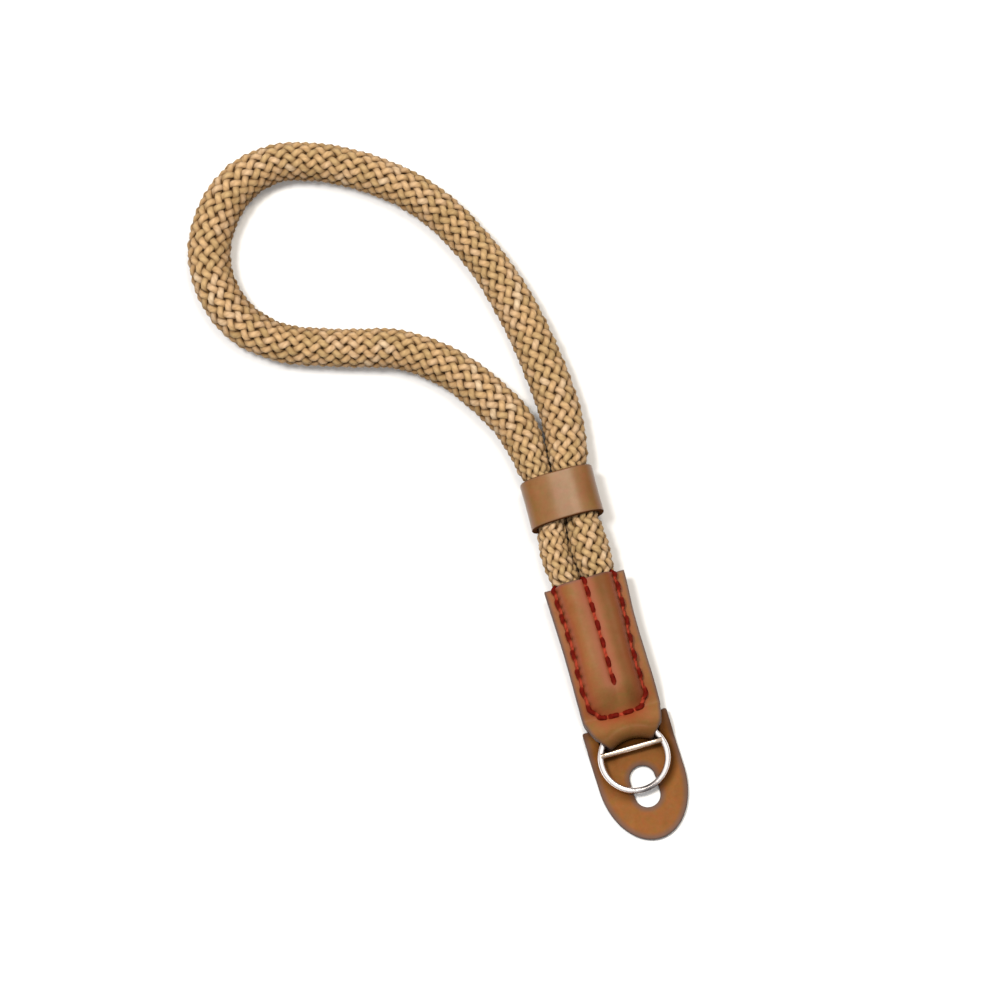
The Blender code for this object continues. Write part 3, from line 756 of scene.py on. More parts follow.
def add_yarns(tubes, line):
    """The braid's yarns. Each one's wave takes it over and under, and it wanders and is loose at random."""
    s = rope_samples(line.total)
    centre, side, wide, tall = line.at(s)
    bend = line.bend(s)
    radius = ROPE_DIAMETER / 2
    lay = STRANDS * CROSSING_PITCH
    slope = math.atan2(2 * math.pi * (radius - STRAND_THICKNESS), lay)
    strand_width = 2 * math.pi * (radius - 0.8 * STRAND_THICKNESS) * math.cos(slope) / STRANDS * STRAND_FILL
    squeeze = (wide + tall) / (2 * radius)
    thick = STRAND_THICKNESS * (0.45 + 0.55 * np.minimum(wide, tall) / radius)
    flanks = FLANK_SHADE * (np.sin(STRAND_ANGLES) - 1.0)
    knots = np.arange(0.0, line.total + 6.0, WANDER_SPACING)

    def wandering(spread):
        return np.interp(s, knots, RANDOM.normal(0.0, spread, len(knots)))

    for direction in (1, -1):
        for strand in range(STRANDS):
            phi = 2 * math.pi * (strand / STRANDS + direction * s / lay)
            x = direction * np.cos(STRANDS * phi)
            wave = np.sign(x) * np.abs(x) ** WAVE_POWER
            wander, loose = wandering(WANDER), wandering(LOOSENESS)
            depth = thick - wave * thick / 2 - loose
            across, high = (wide - depth) * np.cos(phi), (tall - depth) * np.sin(phi)
            middle = centre + side * across[:, None] + UP * high[:, None]
            outward = unit(side * (np.cos(phi) / wide)[:, None] + UP * (np.sin(phi) / tall)[:, None])
            tangent = unit(np.gradient(middle, axis=0))
            beside = unit(np.cross(tangent, outward))
            middle = middle + beside * wander[:, None]
            gauge = strand_width / 2 * squeeze * (1.0 + 0.04 * wave)
            rows = sections(middle, beside, np.cross(beside, tangent), STRAND_ANGLES,
                            STRAND_REACHES * gauge[:, None], STRAND_REACHES * (thick * 0.5)[:, None])
            # Painted shade: lower where the strand dips under others, at the rope's sides and inside its
            # bends.
            painted_lift = wave - SIDE_SHADE * (1 - np.abs(np.sin(phi))) ** 2
            painted_lift = painted_lift - BEND_SHADE * np.maximum(bend * np.cos(phi), 0.0)
            tone = 0.5 + RANDOM.normal(0.0, TONE_SPREAD) + wandering(TONE_WANDER)
            tubes.add(rows, lift=painted_lift[:, None] + flanks, tone=np.clip(tone, 0.0, 1.0)[:, None],
                      run=run_along(middle)[:, None], around=np.arange(len(flanks)) / len(flanks))


def make_rope():
    """Yarns braided round a core, dark as the painted shade seen through the gaps."""
    line, tubes = RopeLine(), Tubes()
    add_yarns(tubes, line)
    yarn_faces = sum(len(part) for part in tubes.faces)
    centre, side, wide, tall = line.at(np.linspace(1.0, line.total - 1.0, int(line.total / 1.2)))
    wide, tall = (wide - CORE_DEPTH)[:, None], (tall - CORE_DEPTH)[:, None]
    core = sections(centre, side, UP, circle(CORE_SIDES), wide, tall)
    tubes.add(core, lift=0.0, tone=0.0, run=0.0, around=0.0)
    indices = np.arange(sum(len(part) for part in tubes.faces)) >= yarn_faces
    materials = [rope_material(), core_shade_material()]
    rope = make_piece("rope_braid", tubes.points, tubes.faces, materials, tubes.attributes(), indices)
    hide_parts("rope")
    path = line.at(np.linspace(0.0, line.total, 160))[0] * MM


make_rope()


# Keeper

KEEPER_WAIST = 0.012
KEEPER_DENT = 0.10
KEEPER_DENT_WIDTH = 2.4


def make_keeper():
    """A leather band round both strands, with a faint dent across its top."""
    turn = circle(120)
    along = edged(-KEEPER_LENGTH / 2, KEEPER_LENGTH / 2, 0.6)
    c, s = np.cos(turn), np.sin(turn)
    wide, tall = (KEEPER_WIDTH - KEEPER_WALL) / 2, (KEEPER_HEIGHT - KEEPER_WALL) / 2
    across = wide * np.sign(c) * np.abs(c) ** (2 / KEEPER_SQUARENESS)
    high = tall * np.sign(s) * np.abs(s) ** (2 / KEEPER_SQUARENESS)
    waist = 1 - KEEPER_WAIST * np.cos(math.pi * along / KEEPER_LENGTH)[:, None]
    middle = 0.8 - 0.17 * along[:, None]
    dent = KEEPER_DENT * bell(across[None] - middle, KEEPER_DENT_WIDTH) * (high > 0)
    grid = plan(across[None] * waist - KEEPER_LEAN * along[:, None], along[:, None],
                KEEPER_HEIGHT / 2 + high[None] * waist - dent)
    reach = np.minimum(along - along[0], along[-1] - along)
    half = KEEPER_WALL / 2 * edge_round(reach)
    points, faces = both_sides(grid, -grid_normals(grid, wrap=True), half[:, None], wrap=True)
    attributes = {"rim": 0.4 * twice(np.repeat(np.clip(1 - reach / 0.9, 0, 1), len(turn)))}
    indices = twice(np.repeat(np.maximum(reach[:-1], reach[1:]) <= 0.21, len(turn)))
    materials = leather_pair("keeper", KEEPER_LOOK, (0.085, 0.033, 0.012), 0.0)
    keeper = make_piece("keeper_band", points, faces, materials, attributes, indices)
    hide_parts("keeper")


make_keeper()


# Sleeve


def sleeve_column(name):
    """One column of SLEEVE_ROWS by its place along the strap."""
    k = SLEEVE_COLUMNS.index(name)
    return [(MOUTH + row[0] * SLEEVE_LENGTH, row[k]) for row in SLEEVE_ROWS]


def sleeve_levels(along):
    """The middles of the front and back sheets beside the lobes, and how far the lobes stand out."""
    seam = [(s, v * SLEEVE_HEIGHT) for s, v in sleeve_column("seam")]
    swell = [(s, max(v * SLEEVE_HEIGHT - LEATHER, 0.0)) for s, v in sleeve_column("swell")]
    apart = LEATHER / 2 + LAYER_GAP
    top = FOLD_HEIGHT - LEATHER / 2
    front = [(s, v + apart) for s, v in seam] + [(NOSE_PLACE - 0.2, top), (FOLD, top)]
    back = [(s, v - apart) for s, v in seam] + [(FLAP_TOP - GAP, LEATHER / 2), (FOLD, LEATHER / 2)]
    return between(front, along, 1.3), between(back, along), between([*swell, (FOLD, 0.0)], along)


def sleeve_half_width(along):
    edge = between([*sleeve_column("edge"), (FOLD, 0.98)], along) * SLEEVE_WIDTH / 2
    reach = np.clip((along - TAB_START) / (FOLD - TAB_START), 0.0, 1.0)
    tab = FOLD_WIDTH / 2 + (SLEEVE_WIDTH - FOLD_WIDTH) / 2 * between(TAB_NARROWING, reach)
    return np.where(along > TAB_START, tab, edge)


# How far the lobes' tops and feet lie from the sleeve's middle in lobe_profile.
LOBE_PEAK = CHANNEL_SPACING / 2
LOBE_FOOT = SLEEVE_WIDTH / 2 - SEAM_INSET


def lobe_profile():
    """The lobes' form across the sleeve, softened: places and heights."""
    places = np.arange(-14, 14, 0.05)
    x = np.abs(places)
    inner = LOBE_VALLEY + (1 - LOBE_VALLEY) * np.sin(math.pi / 2 * np.minimum(x / LOBE_PEAK, 1.0)) ** 0.9
    share = np.clip((x - LOBE_PEAK) / (LOBE_FOOT - LOBE_PEAK), 0.0, 1.0)
    outer = np.sqrt(np.maximum(1 - share**2.2, 0.0))
    return places, softened(np.where(x <= LOBE_PEAK, inner, outer), 0.05, 0.5)


LOBE_PLACES, LOBE_HEIGHTS = lobe_profile()


def lobe_share(across, along):
    """The lobes' height at places of the sleeve, with their feet just outside the seam on each side."""
    feet = np.where(across < 0, np.interp(along, *LEFT_FEET), np.interp(along, *RIGHT_FEET))
    beyond = np.maximum(np.abs(across) - LOBE_PEAK, 0.0)
    stretch = (LOBE_FOOT - LOBE_PEAK) / (feet - LOBE_PEAK)
    return np.interp(across + np.sign(across) * beyond * (stretch - 1), LOBE_PLACES, LOBE_HEIGHTS)


def sleeve_trim(along):
    """Half of what the sleeve's right edge is cut narrower by."""
    begun = smooth_step(MOUTH + 1.0, MOUTH + 13.0, along)
    return RIGHT_TRIM * begun * (1 - smooth_step(TAB_START, NOSE_PLACE, along))


def spans(row):
    """Each pair of neighbouring stitches in a row, as a start, an end and the length between."""
    for start, end in zip(row, row[1:]):
        yield start, end, math.dist(start, end)


def stitch_dents(across, along):
    """How stitches mark the leather at places of the sleeve.

    The marks are how far they pull it in, the painted shade in their holes, how red their dye does,
    and how pale the wax of the middle row does.
    """
    dent, painted_shade, nearest = np.zeros(across.shape), np.zeros(across.shape), np.full(across.shape, 99.0)
    for row in (MIDDLE_STITCHES, SEAM_STITCHES):
        for (ax, ay), (bx, by), length in spans(row):
            ux, uy = (bx - ax) / length, (by - ay) / length
            run = (across - ax) * ux + (along - ay) * uy
            beside = (across - ax) * uy - (along - ay) * ux
            nearest = np.minimum(nearest, np.hypot(run - np.clip(run, 0.0, length), beside))
            for place in (STITCH_HALF, length - STITCH_HALF):
                hole = bell(run - place, HOLE_REACHES[0]) * bell(beside, HOLE_REACHES[1])
                dent = np.maximum(dent, HOLE_DEPTH * hole)
                # Painted shade in the needle's hole.
                painted_shade = np.maximum(painted_shade, np.clip(1.1 * hole, 0.0, 0.85))
        if row is MIDDLE_STITCHES:
            pale = 0.60 * bell(nearest, WAX_REACH) * smooth_step(0.5, 1.6, nearest)
    dent = np.maximum(dent, THREAD_DEPTH * bell(nearest, THREAD_REACH))
    return dent, painted_shade, 0.75 * bell(nearest, DYE_REACH), pale


class Strip:
    """The sleeve's strip as a grid of middles, with rows from the front mouth round the fold to the back."""

    def __init__(self):
        self.columns = edged(-SLEEVE_WIDTH / 2, SLEEVE_WIDTH / 2, 0.34) / (SLEEVE_WIDTH / 2)
        front = edged(MOUTH, NOSE_PLACE + EDGE_REACH, 0.36)[:-len(EDGE_STEPS)]
        self.front_places = np.append(front[front < NOSE_PLACE - 0.2], NOSE_PLACE)
        self.turns = np.linspace(0, math.pi, 19)[1:-1]
        front, back = self.face(1, self.front_places), self.face(-1, self.front_places[::-1])
        joined = [np.concatenate(parts) for parts in zip(front, self.turn(), back)]
        self.across, along, level, self.painted_shade, self.blush, self.pale = joined
        # Painted shade where the tab rolls down round the fold, and on the right lobe's right flank, away
        # from the light.
        roll = 0.50 * smooth_step(NOSE_PLACE, FOLD + FOLD_FURTHER, along)
        flank = 0.38 * smooth_step(1.4, 3.8, self.across) * (1 - smooth_step(4.5, 8.0, self.across))
        flank *= 1 - smooth_step(57.0, 63.0, along)
        self.painted_shade = np.maximum(np.maximum(self.painted_shade, roll), flank)
        self.grid = plan(self.across + SLEEVE_SHIFT, along, level)
        self.normals = -grid_normals(self.grid)

    def face(self, sign, along):
        """The rows of the front face, for a sign of 1, or of the back face."""
        trim = sleeve_trim(along)[:, None]
        across = self.columns[None] * (sleeve_half_width(along)[:, None] - trim) - trim
        front_level, back_level, swell = sleeve_levels(along)
        lobe = lobe_share(across, along[:, None]) * swell[:, None]
        dent, painted_shade, blush, pale = stitch_dents(across, along[:, None])
        level = (front_level if sign > 0 else back_level)[:, None] + sign * (lobe - dent)
        return across, self.bent(across, along[:, None]), level, painted_shade, blush, pale

    def turn(self):
        """The rows round the fold's nose."""
        c, s = np.cos(self.turns)[:, None], np.sin(self.turns)[:, None]
        spare = sleeve_half_width(np.array([NOSE_PLACE]))[0] - FOLD_WIDTH / 2
        across = self.columns[None] * (FOLD_WIDTH / 2 + spare * (1 - s))
        radius, power = NOSE - LEATHER / 2, 2 / NOSE_SQUARENESS
        along = NOSE_PLACE + radius * s**power
        level = NOSE + radius * np.sign(c) * np.abs(c) ** power
        plain = 0 * across
        return across, self.bent(across, along), level + plain, plain, plain, plain

    @staticmethod
    def bent(across, along):
        reach = smooth_step(TAB_START, NOSE_PLACE + 0.5, along)
        return along + (fold_edge(across) - FOLD + FOLD_FURTHER) * reach

    def on(self, across, along, back=False):
        """Points on the strip's outer face at these places of its plan, and the normals there."""
        places = self.front_places
        row = np.interp(along, places, np.arange(len(places)))
        if back:
            row = len(self.grid) - 1 - row
        trim = sleeve_trim(along)
        share = (across + trim) / (sleeve_half_width(along) - trim)
        column = np.interp(share, self.columns, np.arange(len(self.columns)))
        i = np.clip(row.astype(int), 0, len(self.grid) - 2)
        j = np.clip(column.astype(int), 0, len(self.columns) - 2)
        a, b = (row - i)[:, None], (column - j)[:, None]

        def mixed(grid):
            low = grid[i, j] * (1 - b) + grid[i, j + 1] * b
            high = grid[i + 1, j] * (1 - b) + grid[i + 1, j + 1] * b
            return low * (1 - a) + high * a

        normal = unit(mixed(self.normals))
        return mixed(self.grid) + normal * (LEATHER / 2), normal


def make_sleeve(strip):
    along = strip.front_places - MOUTH
    reach_rows = np.concatenate([along, np.full(len(strip.turns), 9.0), along[::-1]])[:, None]
    reach_columns = (1 - np.abs(strip.columns))[None] * np.abs(strip.across[:, :1])
    reach = np.minimum(reach_rows, reach_columns)
    half = LEATHER / 2 * np.minimum(edge_round(reach_rows), edge_round(reach_columns))
    points, faces = both_sides(strip.grid, strip.normals, half)
    widest = np.maximum(reach[:-1], reach[1:])
    widest = np.maximum(widest[:, :-1], widest[:, 1:])
    attributes = {
        "rim": twice(np.clip(1 - reach / 1.1, 0, 1)),
        "painted_shade": twice(strip.painted_shade),
        "blush": twice(strip.blush),
        "pale": twice(strip.pale),
    }
    materials = leather_pair("sleeve", SLEEVE_LOOK, (0.075, 0.042, 0.032))
    sleeve = make_piece("sleeve_strip", points, faces, materials, attributes, twice(widest <= 0.22))
    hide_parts("sleeve")


strip = Strip()
make_sleeve(strip)


# Thread

# How far the middle row's last four points sink into the leather, where the thread ends.
SINKING = np.array([0.4, 0.9, 1.5, 2.2])
SPAN_POINTS = 24
# How far that row's thread is drawn past its last stitch, and how many points are left out there.
LAST_SPAN = 3.6
LAST_LEFT_OUT = 11


def relaxed(path):
    for _ in range(2):
        path[1:-1] = (path[:-2] + 2 * path[1:-1] + path[2:]) / 4
    return path


def add_thread(tubes, path, link):
    """Add a three-ply thread along a path, thinner where link is 1."""
    path = relaxed(path)
    run = run_along(path)
    places = np.linspace(0.0, run[-1], int(run[-1] / 0.2))
    smooth = relaxed(points_at(places, run, path))
    link = np.interp(places, run, link)[:, None]
    tangent = unit(np.gradient(smooth, axis=0))
    beside = np.cross(tangent, UP)
    upright = np.linalg.norm(beside, axis=1) < 0.3
    beside[upright] = plan(1.0, 0.0, 0.0) - plan(0.0, 0.0, 0.0)
    turned = np.cumprod(np.where(np.sum(beside[1:] * beside[:-1], axis=1) < 0, -1.0, 1.0))
    beside[1:] *= turned[:, None]
    beside = unit(beside - tangent * np.sum(beside * tangent, axis=1)[:, None])
    turn = circle(12)
    lobes = 1 + 0.09 * np.cos(3 * turn + 2 * math.pi * places[:, None] / THREAD_LAY)
    radius = THREAD / 2 * (1 - 0.04 * link) * lobes
    rows = sections(smooth, beside, np.cross(beside, tangent), turn, radius * 1.06, radius * 0.94)
    tubes.add(rows, capped=True, run=places[:, None], around=np.arange(len(turn)) / len(turn), link=link)


def stitched(strip, row, back=False):
    """The thread along a row of stitches on one face: raised along each stitch, sunk between them."""
    across, along, links = [], [], []
    shares = np.linspace(0, 1, SPAN_POINTS, endpoint=False)
    for (ax, ay), (bx, by), length in spans(row):
        across.append(ax + (bx - ax) * shares)
        along.append(ay + (by - ay) * shares)
        run = shares * length
        links.append(smooth_step(-0.35, 0.30, np.minimum(run, length - run) - STITCH_HALF))
    across, along, link = (np.concatenate(values) for values in (across, along, links))
    points, normals = strip.on(across, along, back)
    return points + normals * (THREAD * (0.26 - 0.40 * link))[:, None], link


def over_mouth(start, end, across):
    """The thread over the sleeve's mouth, from a point on one face to a point on the other."""
    heights = np.linspace(start[2], end[2], 9)[1:-1]
    return plan(across + SLEEVE_SHIFT, MOUTH - 0.36 * THREAD, heights)


def make_thread(strip):
    """The seam's thread, all the way round on both faces, and the middle row's."""
    front, front_link = stitched(strip, SEAM_STITCHES)
    back, back_link = stitched(strip, SEAM_STITCHES, back=True)
    left = over_mouth(back[0], front[0], SEAM_STITCHES[0][0])
    right = over_mouth(front[-1], back[-1], SEAM_STITCHES[-1][0])
    level = np.zeros(len(left))
    tubes = Tubes()
    add_thread(tubes, np.concatenate([left, front, right, back[::-1]]),
               np.concatenate([level, front_link, level, back_link[::-1]]))
    end = MIDDLE_STITCHES[-1]
    row = (*MIDDLE_STITCHES, (end[0], end[1] + LAST_SPAN))
    front, front_link = stitched(strip, row)
    back, back_link = stitched(strip, row, back=True)
    keep = len(front_link) - LAST_LEFT_OUT
    front[keep - len(SINKING):keep, 2] -= SINKING
    back[keep - len(SINKING):keep, 2] += SINKING
    turn = over_mouth(front[0], back[0], MIDDLE_STITCHES[0][0])
    add_thread(tubes, np.concatenate([front[:keep][::-1], turn, back[:keep]]),
               np.concatenate([front_link[:keep][::-1], level, back_link[:keep]]))
    thread = make_piece("seam_thread", tubes.points, tubes.faces, [thread_material()], tubes.attributes())


make_thread(strip)


# Ring

# Where round the ring its wire's joint is, and where its painted darker reflection lies and how far it
# reaches.
JOINT_TURN = math.radians(-107.0)
DARK_REFLECTION_TURN = math.radians(279.0)
DARK_REFLECTION_REACH = math.radians(16.0)


def make_ring():
    """Round wire with a butt joint, and a bar soldered across it."""
    tubes, roll = Tubes(), circle(20)
    turn = circle(160)
    apart = np.abs((turn - JOINT_TURN + math.pi) % (2 * math.pi) - math.pi) * RING_DIAMETER / 2
    wire = (RING_WIRE / 2 * (1 - 0.22 * bell(apart, 0.16)))[:, None]
    radial = np.stack([np.cos(turn), np.sin(turn), 0 * turn], axis=-1)
    # Painted darker reflection over the flap's hole.
    dull = 0.95 * bell(turn - DARK_REFLECTION_TURN, DARK_REFLECTION_REACH)[:, None]
    tubes.add(sections(radial * RING_DIAMETER / 2, radial, UP, roll, wire, wire), closed=True,
              solder=0.0, dull=dull)
    half = math.sqrt((RING_DIAMETER / 2) ** 2 - BAR_OFFSET**2)
    x = np.linspace(-half, half, 60)
    thick = (BAR_WIRE / 2 * (1 + 0.25 * np.exp(-((half - np.abs(x)) / 0.9) ** 2)))[:, None]
    bar = np.stack([x, 0 * x + BAR_OFFSET, 0 * x], axis=-1)
    # Warm along the bar and darker towards its ends: partly solder, partly painted shade under the fold.
    solder = 0.28 + 0.50 * np.exp(-((half - np.abs(x)) / 3.4) ** 2)
    tubes.add(sections(bar, (0.0, 1.0, 0.0), UP, roll, thick, thick), capped=True,
              solder=solder[:, None], dull=0.0)
    local = np.concatenate([rows.reshape(-1, 3) for rows in tubes.points])
    c, s = math.cos(RING_TILT), math.sin(RING_TILT)
    tilted_y, tilted_z = local[:, 1] * c - local[:, 2] * s, local[:, 1] * s + local[:, 2] * c
    across, along = local[:, 0] + SLEEVE_SHIFT + RING_NUDGE[0], RING_MIDDLE + RING_NUDGE[1] - tilted_y
    world = plan(across, along, tilted_z + (WIRE_MIDDLE + WIRE_REST) / 2)
    ring = make_piece("ring_wire", [world], tubes.faces, [metal_material()], tubes.attributes(), crease=50)
    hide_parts("ring")


make_ring()


# Flap

# The step of the flap's inner points, and how far every other row of them is moved along.
GRID_STEP = 0.55
GRID_STAGGER = 0.27


def flap_turned(across, along):
    c, s = math.cos(FLAP_TURN), math.sin(FLAP_TURN)
    x, y = across, along - FLAP_TOP
    return SLEEVE_SHIFT + FLAP_SHIFT + x * c + y * s, FLAP_TOP + y * c - x * s


def flap_under(along):
    return FLAP_UNDER * (1 - smooth_step(FOLD - LEATHER, FOLD + FLAP_RAMP, along))


def walked(corners, step):
    """A closed line of points at even steps."""
    line = np.array([*corners, corners[0]])
    places = run_along(line)
    return points_at(np.linspace(0.0, places[-1], int(places[-1] / step), endpoint=False), places, line)


def eased(line, times):
    for _ in range(times):
        line = (np.roll(line, 1, axis=0) + 2 * line + np.roll(line, -1, axis=0)) / 4
    return line


def inward(line, distance):
    """A closed line moved sideways, to its left."""
    tangent = unit(np.roll(line, -1, axis=0) - np.roll(line, 1, axis=0))
    return line + np.stack([-tangent[:, 1], tangent[:, 0]], axis=-1) * distance


def flap_outlines():
    """The flap's outline and its two openings, each walked with the leather on its left."""
    half, straight = FLAP_WIDTH / 2, FLAP_LENGTH - FLAP_ROUND
    left_ear = [(-half, -EAR_RISES[0]), (EAR_WIDTH - half, 0.0)]
    right_ear = [(half - EAR_WIDTH, 0.0), (half, -EAR_RISES[1])]
    turns = np.linspace(0, math.pi, 60)[1:-1]
    round_end = [(half * math.cos(t), straight + FLAP_ROUND * math.sin(t)) for t in turns]
    outer = [*left_ear, *right_ear, (half, straight), *round_end, (-half, straight)]
    outer = [flap_turned(x, FLAP_TOP + y) for x, y in outer]
    radius, run = HOLE_WIDTH / 2, HOLE_LENGTH / 2 - HOLE_WIDTH / 2
    middle = FLAP_TOP + FLAP_LENGTH - HOLE_FROM_END
    hole = []
    for end in (1, -1):
        for t in np.linspace(0, math.pi, 30) + (0 if end > 0 else math.pi):
            place = middle + end * run + radius * math.sin(t)
            hole.append(flap_turned(HOLE_SHIFT + radius * math.cos(t), place))
    across = np.linspace(-FLAP_SLOT_WIDTH / 2, FLAP_SLOT_WIDTH / 2, 40)
    room_end = RING_MIDDLE - (RING_DIAMETER / 2 - RING_WIRE / 2 - GAP)
    slot = [(x + SLEEVE_SHIFT, room_end - GAP) for x in across]
    for x in across[::-1]:
        beyond = max(abs(x) - FOLD_WIDTH / 2, 0.0)
        slot.append((x + SLEEVE_SHIFT, float(fold_edge(x)) + GAP - 0.8 * beyond))
    lines = []
    for corners, step, ease in ((outer, 0.35, 5), (hole, 0.3, 3), (slot, 0.3, 3)):
        line = eased(walked(corners, step), ease)
        area = np.sum(line[:, 0] * np.roll(line[:, 1], -1) - np.roll(line[:, 0], -1) * line[:, 1])
        wanted = 1 if corners is outer else -1
        lines.append(line if area * wanted > 0 else line[::-1])
    return lines


def inside_line(points, line):
    """Which points lie inside a closed line."""
    x, y = points[:, :1], points[:, 1:]
    ax, ay = line[:, 0][None], line[:, 1][None]
    bx, by = np.roll(line[:, 0], -1)[None], np.roll(line[:, 1], -1)[None]
    crosses = (ay > y) != (by > y)
    with np.errstate(divide="ignore", invalid="ignore"):
        hit = crosses & (x < (bx - ax) * (y - ay) / (by - ay) + ax)
    return hit.sum(axis=1) % 2 == 1


def on_leather(points, lines):
    outer, hole, slot = (inside_line(points, line) for line in lines)
    return outer & ~hole & ~slot


def flap_painted_shadow(across, along):
    """Painted shadow on the flap: the ring's wire casts it just outside the ring on the right and just
    inside on the left, a slight darkening covers the inside of the ring, and the top corners beside the
    sleeve are darker, the right one in the sleeve's painted shadow.
    """
    x, y = across - SLEEVE_SHIFT - RING_NUDGE[0], along - RING_MIDDLE - RING_NUDGE[1]
    reach = np.hypot(x, y) - RING_DIAMETER / 2
    lean = (0.80 * x + 0.60 * y) / np.maximum(np.hypot(x, y), 1e-6)
    # How far outside the wire's middle line its painted shadow is darkest.
    shadow_offset = 1.35
    fall = np.where(reach > shadow_offset, 1.1, 0.5)
    outside = (0.42 + 0.48 * smooth_step(-0.2, 0.7, lean)) * bell(reach - shadow_offset, fall)
    inside = 0.70 * smooth_step(0.1, 0.8, -lean) * bell(reach + shadow_offset, 0.55)
    within = 0.27 * (1 - smooth_step(-1.5, 0.0, reach))
    top = along - FLAP_TOP
    right_ear = 0.68 * (1 - smooth_step(2.0, 14.0, top))
    left_ear = 0.62 * (1 - smooth_step(0.0, 5.5, top))
    ears = np.maximum(np.where(across > 0, right_ear, left_ear), 0.20 * smooth_step(5.0, 10.5, across))
    return np.maximum(np.maximum(outside, inside), np.maximum(within, ears))


def flap_mesh():
    """The flap's points in its plan, their distance from its cut edges, and its triangles."""
    lines = flap_outlines()
    places, reaches, edges = [], [], []
    for line in lines:
        for step in EDGE_STEPS:
            start = sum(len(p) for p in places)
            places.append(inward(line, step))
            reaches.append(np.full(len(line), step))
            if step in (0.0, EDGE_REACH):
                edges += [(start + k, start + (k + 1) % len(line)) for k in range(len(line))]
    low, high = lines[0].min(axis=0), lines[0].max(axis=0)
    gx, gy = np.meshgrid(np.arange(low[0], high[0], GRID_STEP), np.arange(low[1], high[1], GRID_STEP))
    gx = gx + GRID_STAGGER * (np.arange(len(gx)) % 2)[:, None]
    free = np.stack([gx.ravel(), gy.ravel()], axis=-1)
    shore = np.concatenate(lines)
    distance = np.min(np.hypot(*(free[:, None, k] - shore[None, :, k] for k in range(2))), axis=1)
    keep = on_leather(free, lines) & (distance > EDGE_REACH + 0.35)
    flat, reach = np.concatenate([*places, free[keep]]), np.concatenate([*reaches, distance[keep]])
    solved = delaunay_2d_cdt([Vector(p) for p in flat], edges, [], 0, 1e-6)
    vertices = np.array([tuple(v) for v in solved[0]])
    reach = reach[[ids[0] if ids else 0 for ids in solved[3]]]
    triangles = np.array(solved[2])
    triangles = triangles[on_leather(vertices[triangles].mean(axis=1), lines)]
    a, b, c = (vertices[triangles[:, k]] for k in range(3))
    upward = (np.cross(b - a, c - a) > 0)[:, None]
    return vertices, reach, np.where(upward, triangles[:, ::-1], triangles)


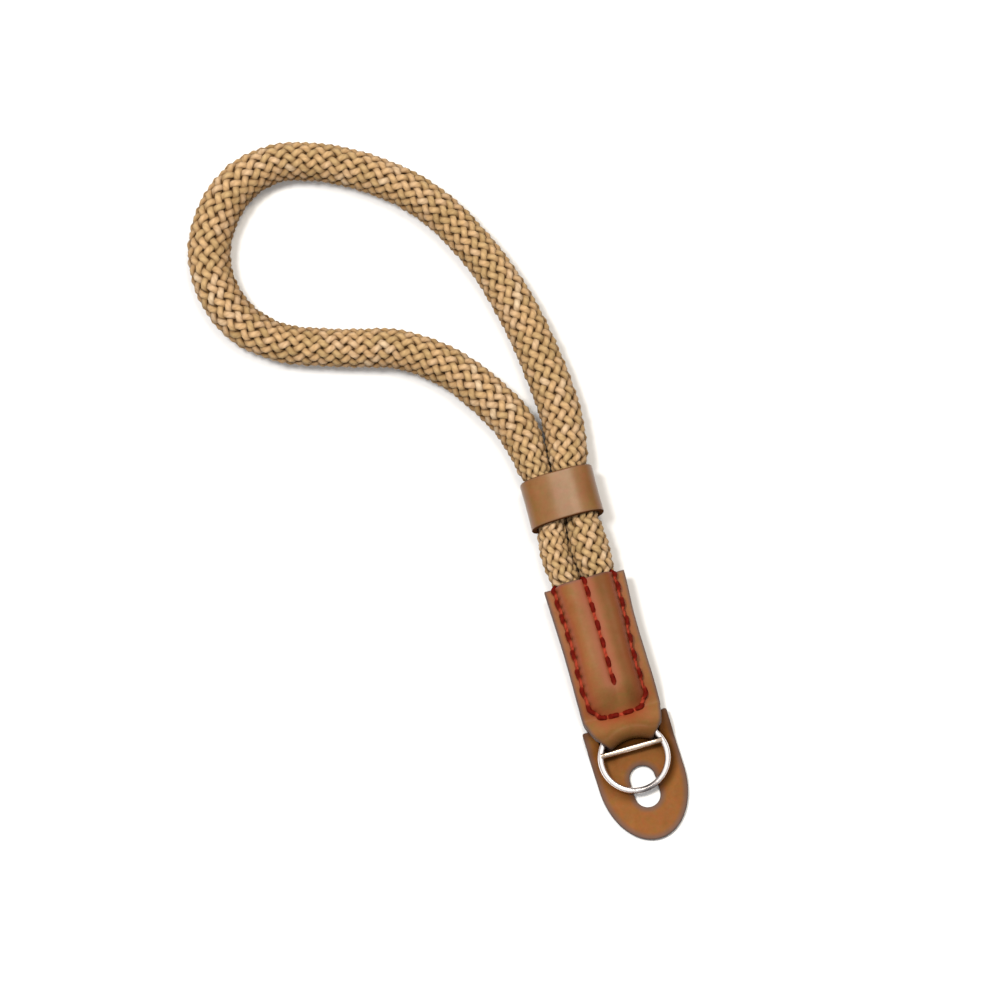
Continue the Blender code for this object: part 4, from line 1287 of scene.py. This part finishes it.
def make_flap():
    """The guard: flat on the surface, and lifted over the sleeve's back where it goes under the fold."""
    vertices, reach, triangles = flap_mesh()
    across, along = vertices[:, 0], vertices[:, 1]
    level = flap_under(along) + FLAP_THICKNESS / 2
    slope = (flap_under(along + 0.05) - flap_under(along - 0.05)) / 0.1
    half = FLAP_THICKNESS / 2 * edge_round(reach)
    wave = 0.05 * np.sin(0.45 * across + 0.3 * along) * np.clip(reach / 3, 0, 1)
    tilt = half[:, None] * unit(np.stack([0 * slope, -slope, 1 + 0 * slope], axis=-1))
    top = plan(across + tilt[:, 0], along + tilt[:, 1], level + tilt[:, 2] + wave)
    bottom = plan(across - tilt[:, 0], along - tilt[:, 1], level - tilt[:, 2])
    beside = np.maximum(np.abs(across - SLEEVE_SHIFT) - 6.5, 0.0)
    under = np.hypot(beside / 1.6, (along - fold_edge(across)) / 2.2)
    edge = (reach[triangles].max(axis=1) <= 0.21) & (under[triangles].min(axis=1) > 2.0)
    # Painted shadow on the flap beneath the fold's edge, joined with the painted shadows round the ring and
    # at the top.
    shade = 0.95 * bell(np.maximum(under - 0.4, 0.0), 1.0)
    attributes = {
        "rim": twice(np.clip(1 - reach / 1.9, 0, 1) * (under > 2.5)),
        "painted_shade": twice(np.maximum(shade, flap_painted_shadow(across, along))),
    }
    materials = leather_pair("flap", FLAP_LOOK, (0.070, 0.040, 0.030))
    faces = triangles, triangles[:, ::-1] + len(vertices)
    flap = make_piece("flap_guard", [top, bottom], faces, materials, attributes, twice(edge))
    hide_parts("flap")


make_flap()


# Floor and light


def make_floor():
    size = 3.0
    mesh = bpy.data.meshes.new("floor")
    corners = [(-size, -size, 0), (size, -size, 0), (size, size, 0), (-size, size, 0)]
    mesh.from_pydata(corners, [], [(0, 1, 2, 3)])
    n = Nodes("floor")
    clouds = n.noise(n.position((0.02, 0.02, 0.02)), 1.0)
    tone = n.ramp(clouds, (0.3, (0.615, 0.619, 0.628)), (0.7, (0.625, 0.629, 0.638)))
    mesh.materials.append(n.finish(Base_Color=tone, Roughness=0.9))
    floor = linked("floor", mesh)


def make_light(name, place, size, power, colour, mirrored=True):
    """A round soft light, aimed at the strap's middle."""
    data = bpy.data.lights.new(name, "AREA")
    data.shape = "DISK"
    data.size = size
    data.energy = power
    data.color = colour
    light = linked(name, data)
    light.location = place
    light.visible_glossy = mirrored
    light.rotation_euler = (-Vector(place)).to_track_quat("-Z", "Y").to_euler()


def make_world():
    """A tent of light: bright overhead and dim at the horizon."""
    world = bpy.data.worlds.new("studio")
    world.use_nodes = True
    tree = world.node_tree
    coordinates = tree.nodes.new("ShaderNodeTexCoord")
    split = tree.nodes.new("ShaderNodeSeparateXYZ")
    ramp = tree.nodes.new("ShaderNodeValToRGB")
    tree.links.new(coordinates.outputs["Generated"], split.inputs["Vector"])
    tree.links.new(split.outputs["Z"], ramp.inputs["Fac"])
    horizon, overhead = ramp.color_ramp.elements
    horizon.position, horizon.color = 0.12, (0.05, 0.05, 0.052, 1.0)
    overhead.position, overhead.color = 0.80, (1.0, 0.97, 0.94, 1.0)
    background = tree.nodes["Background"]
    tree.links.new(ramp.outputs["Color"], background.inputs["Color"])
    background.inputs["Strength"].default_value = 1.2
    bpy.context.scene.world = world


make_floor()
make_light("key", (-0.54, 0.14, 1.53), 0.42, 26.0, (1.0, 0.975, 0.94), mirrored=False)
make_light("top", (0.18, 0.36, 1.45), 0.45, 11.0, (1.0, 0.89, 0.72))
make_world()
bpy.context.scene.view_settings.view_transform = "Standard"
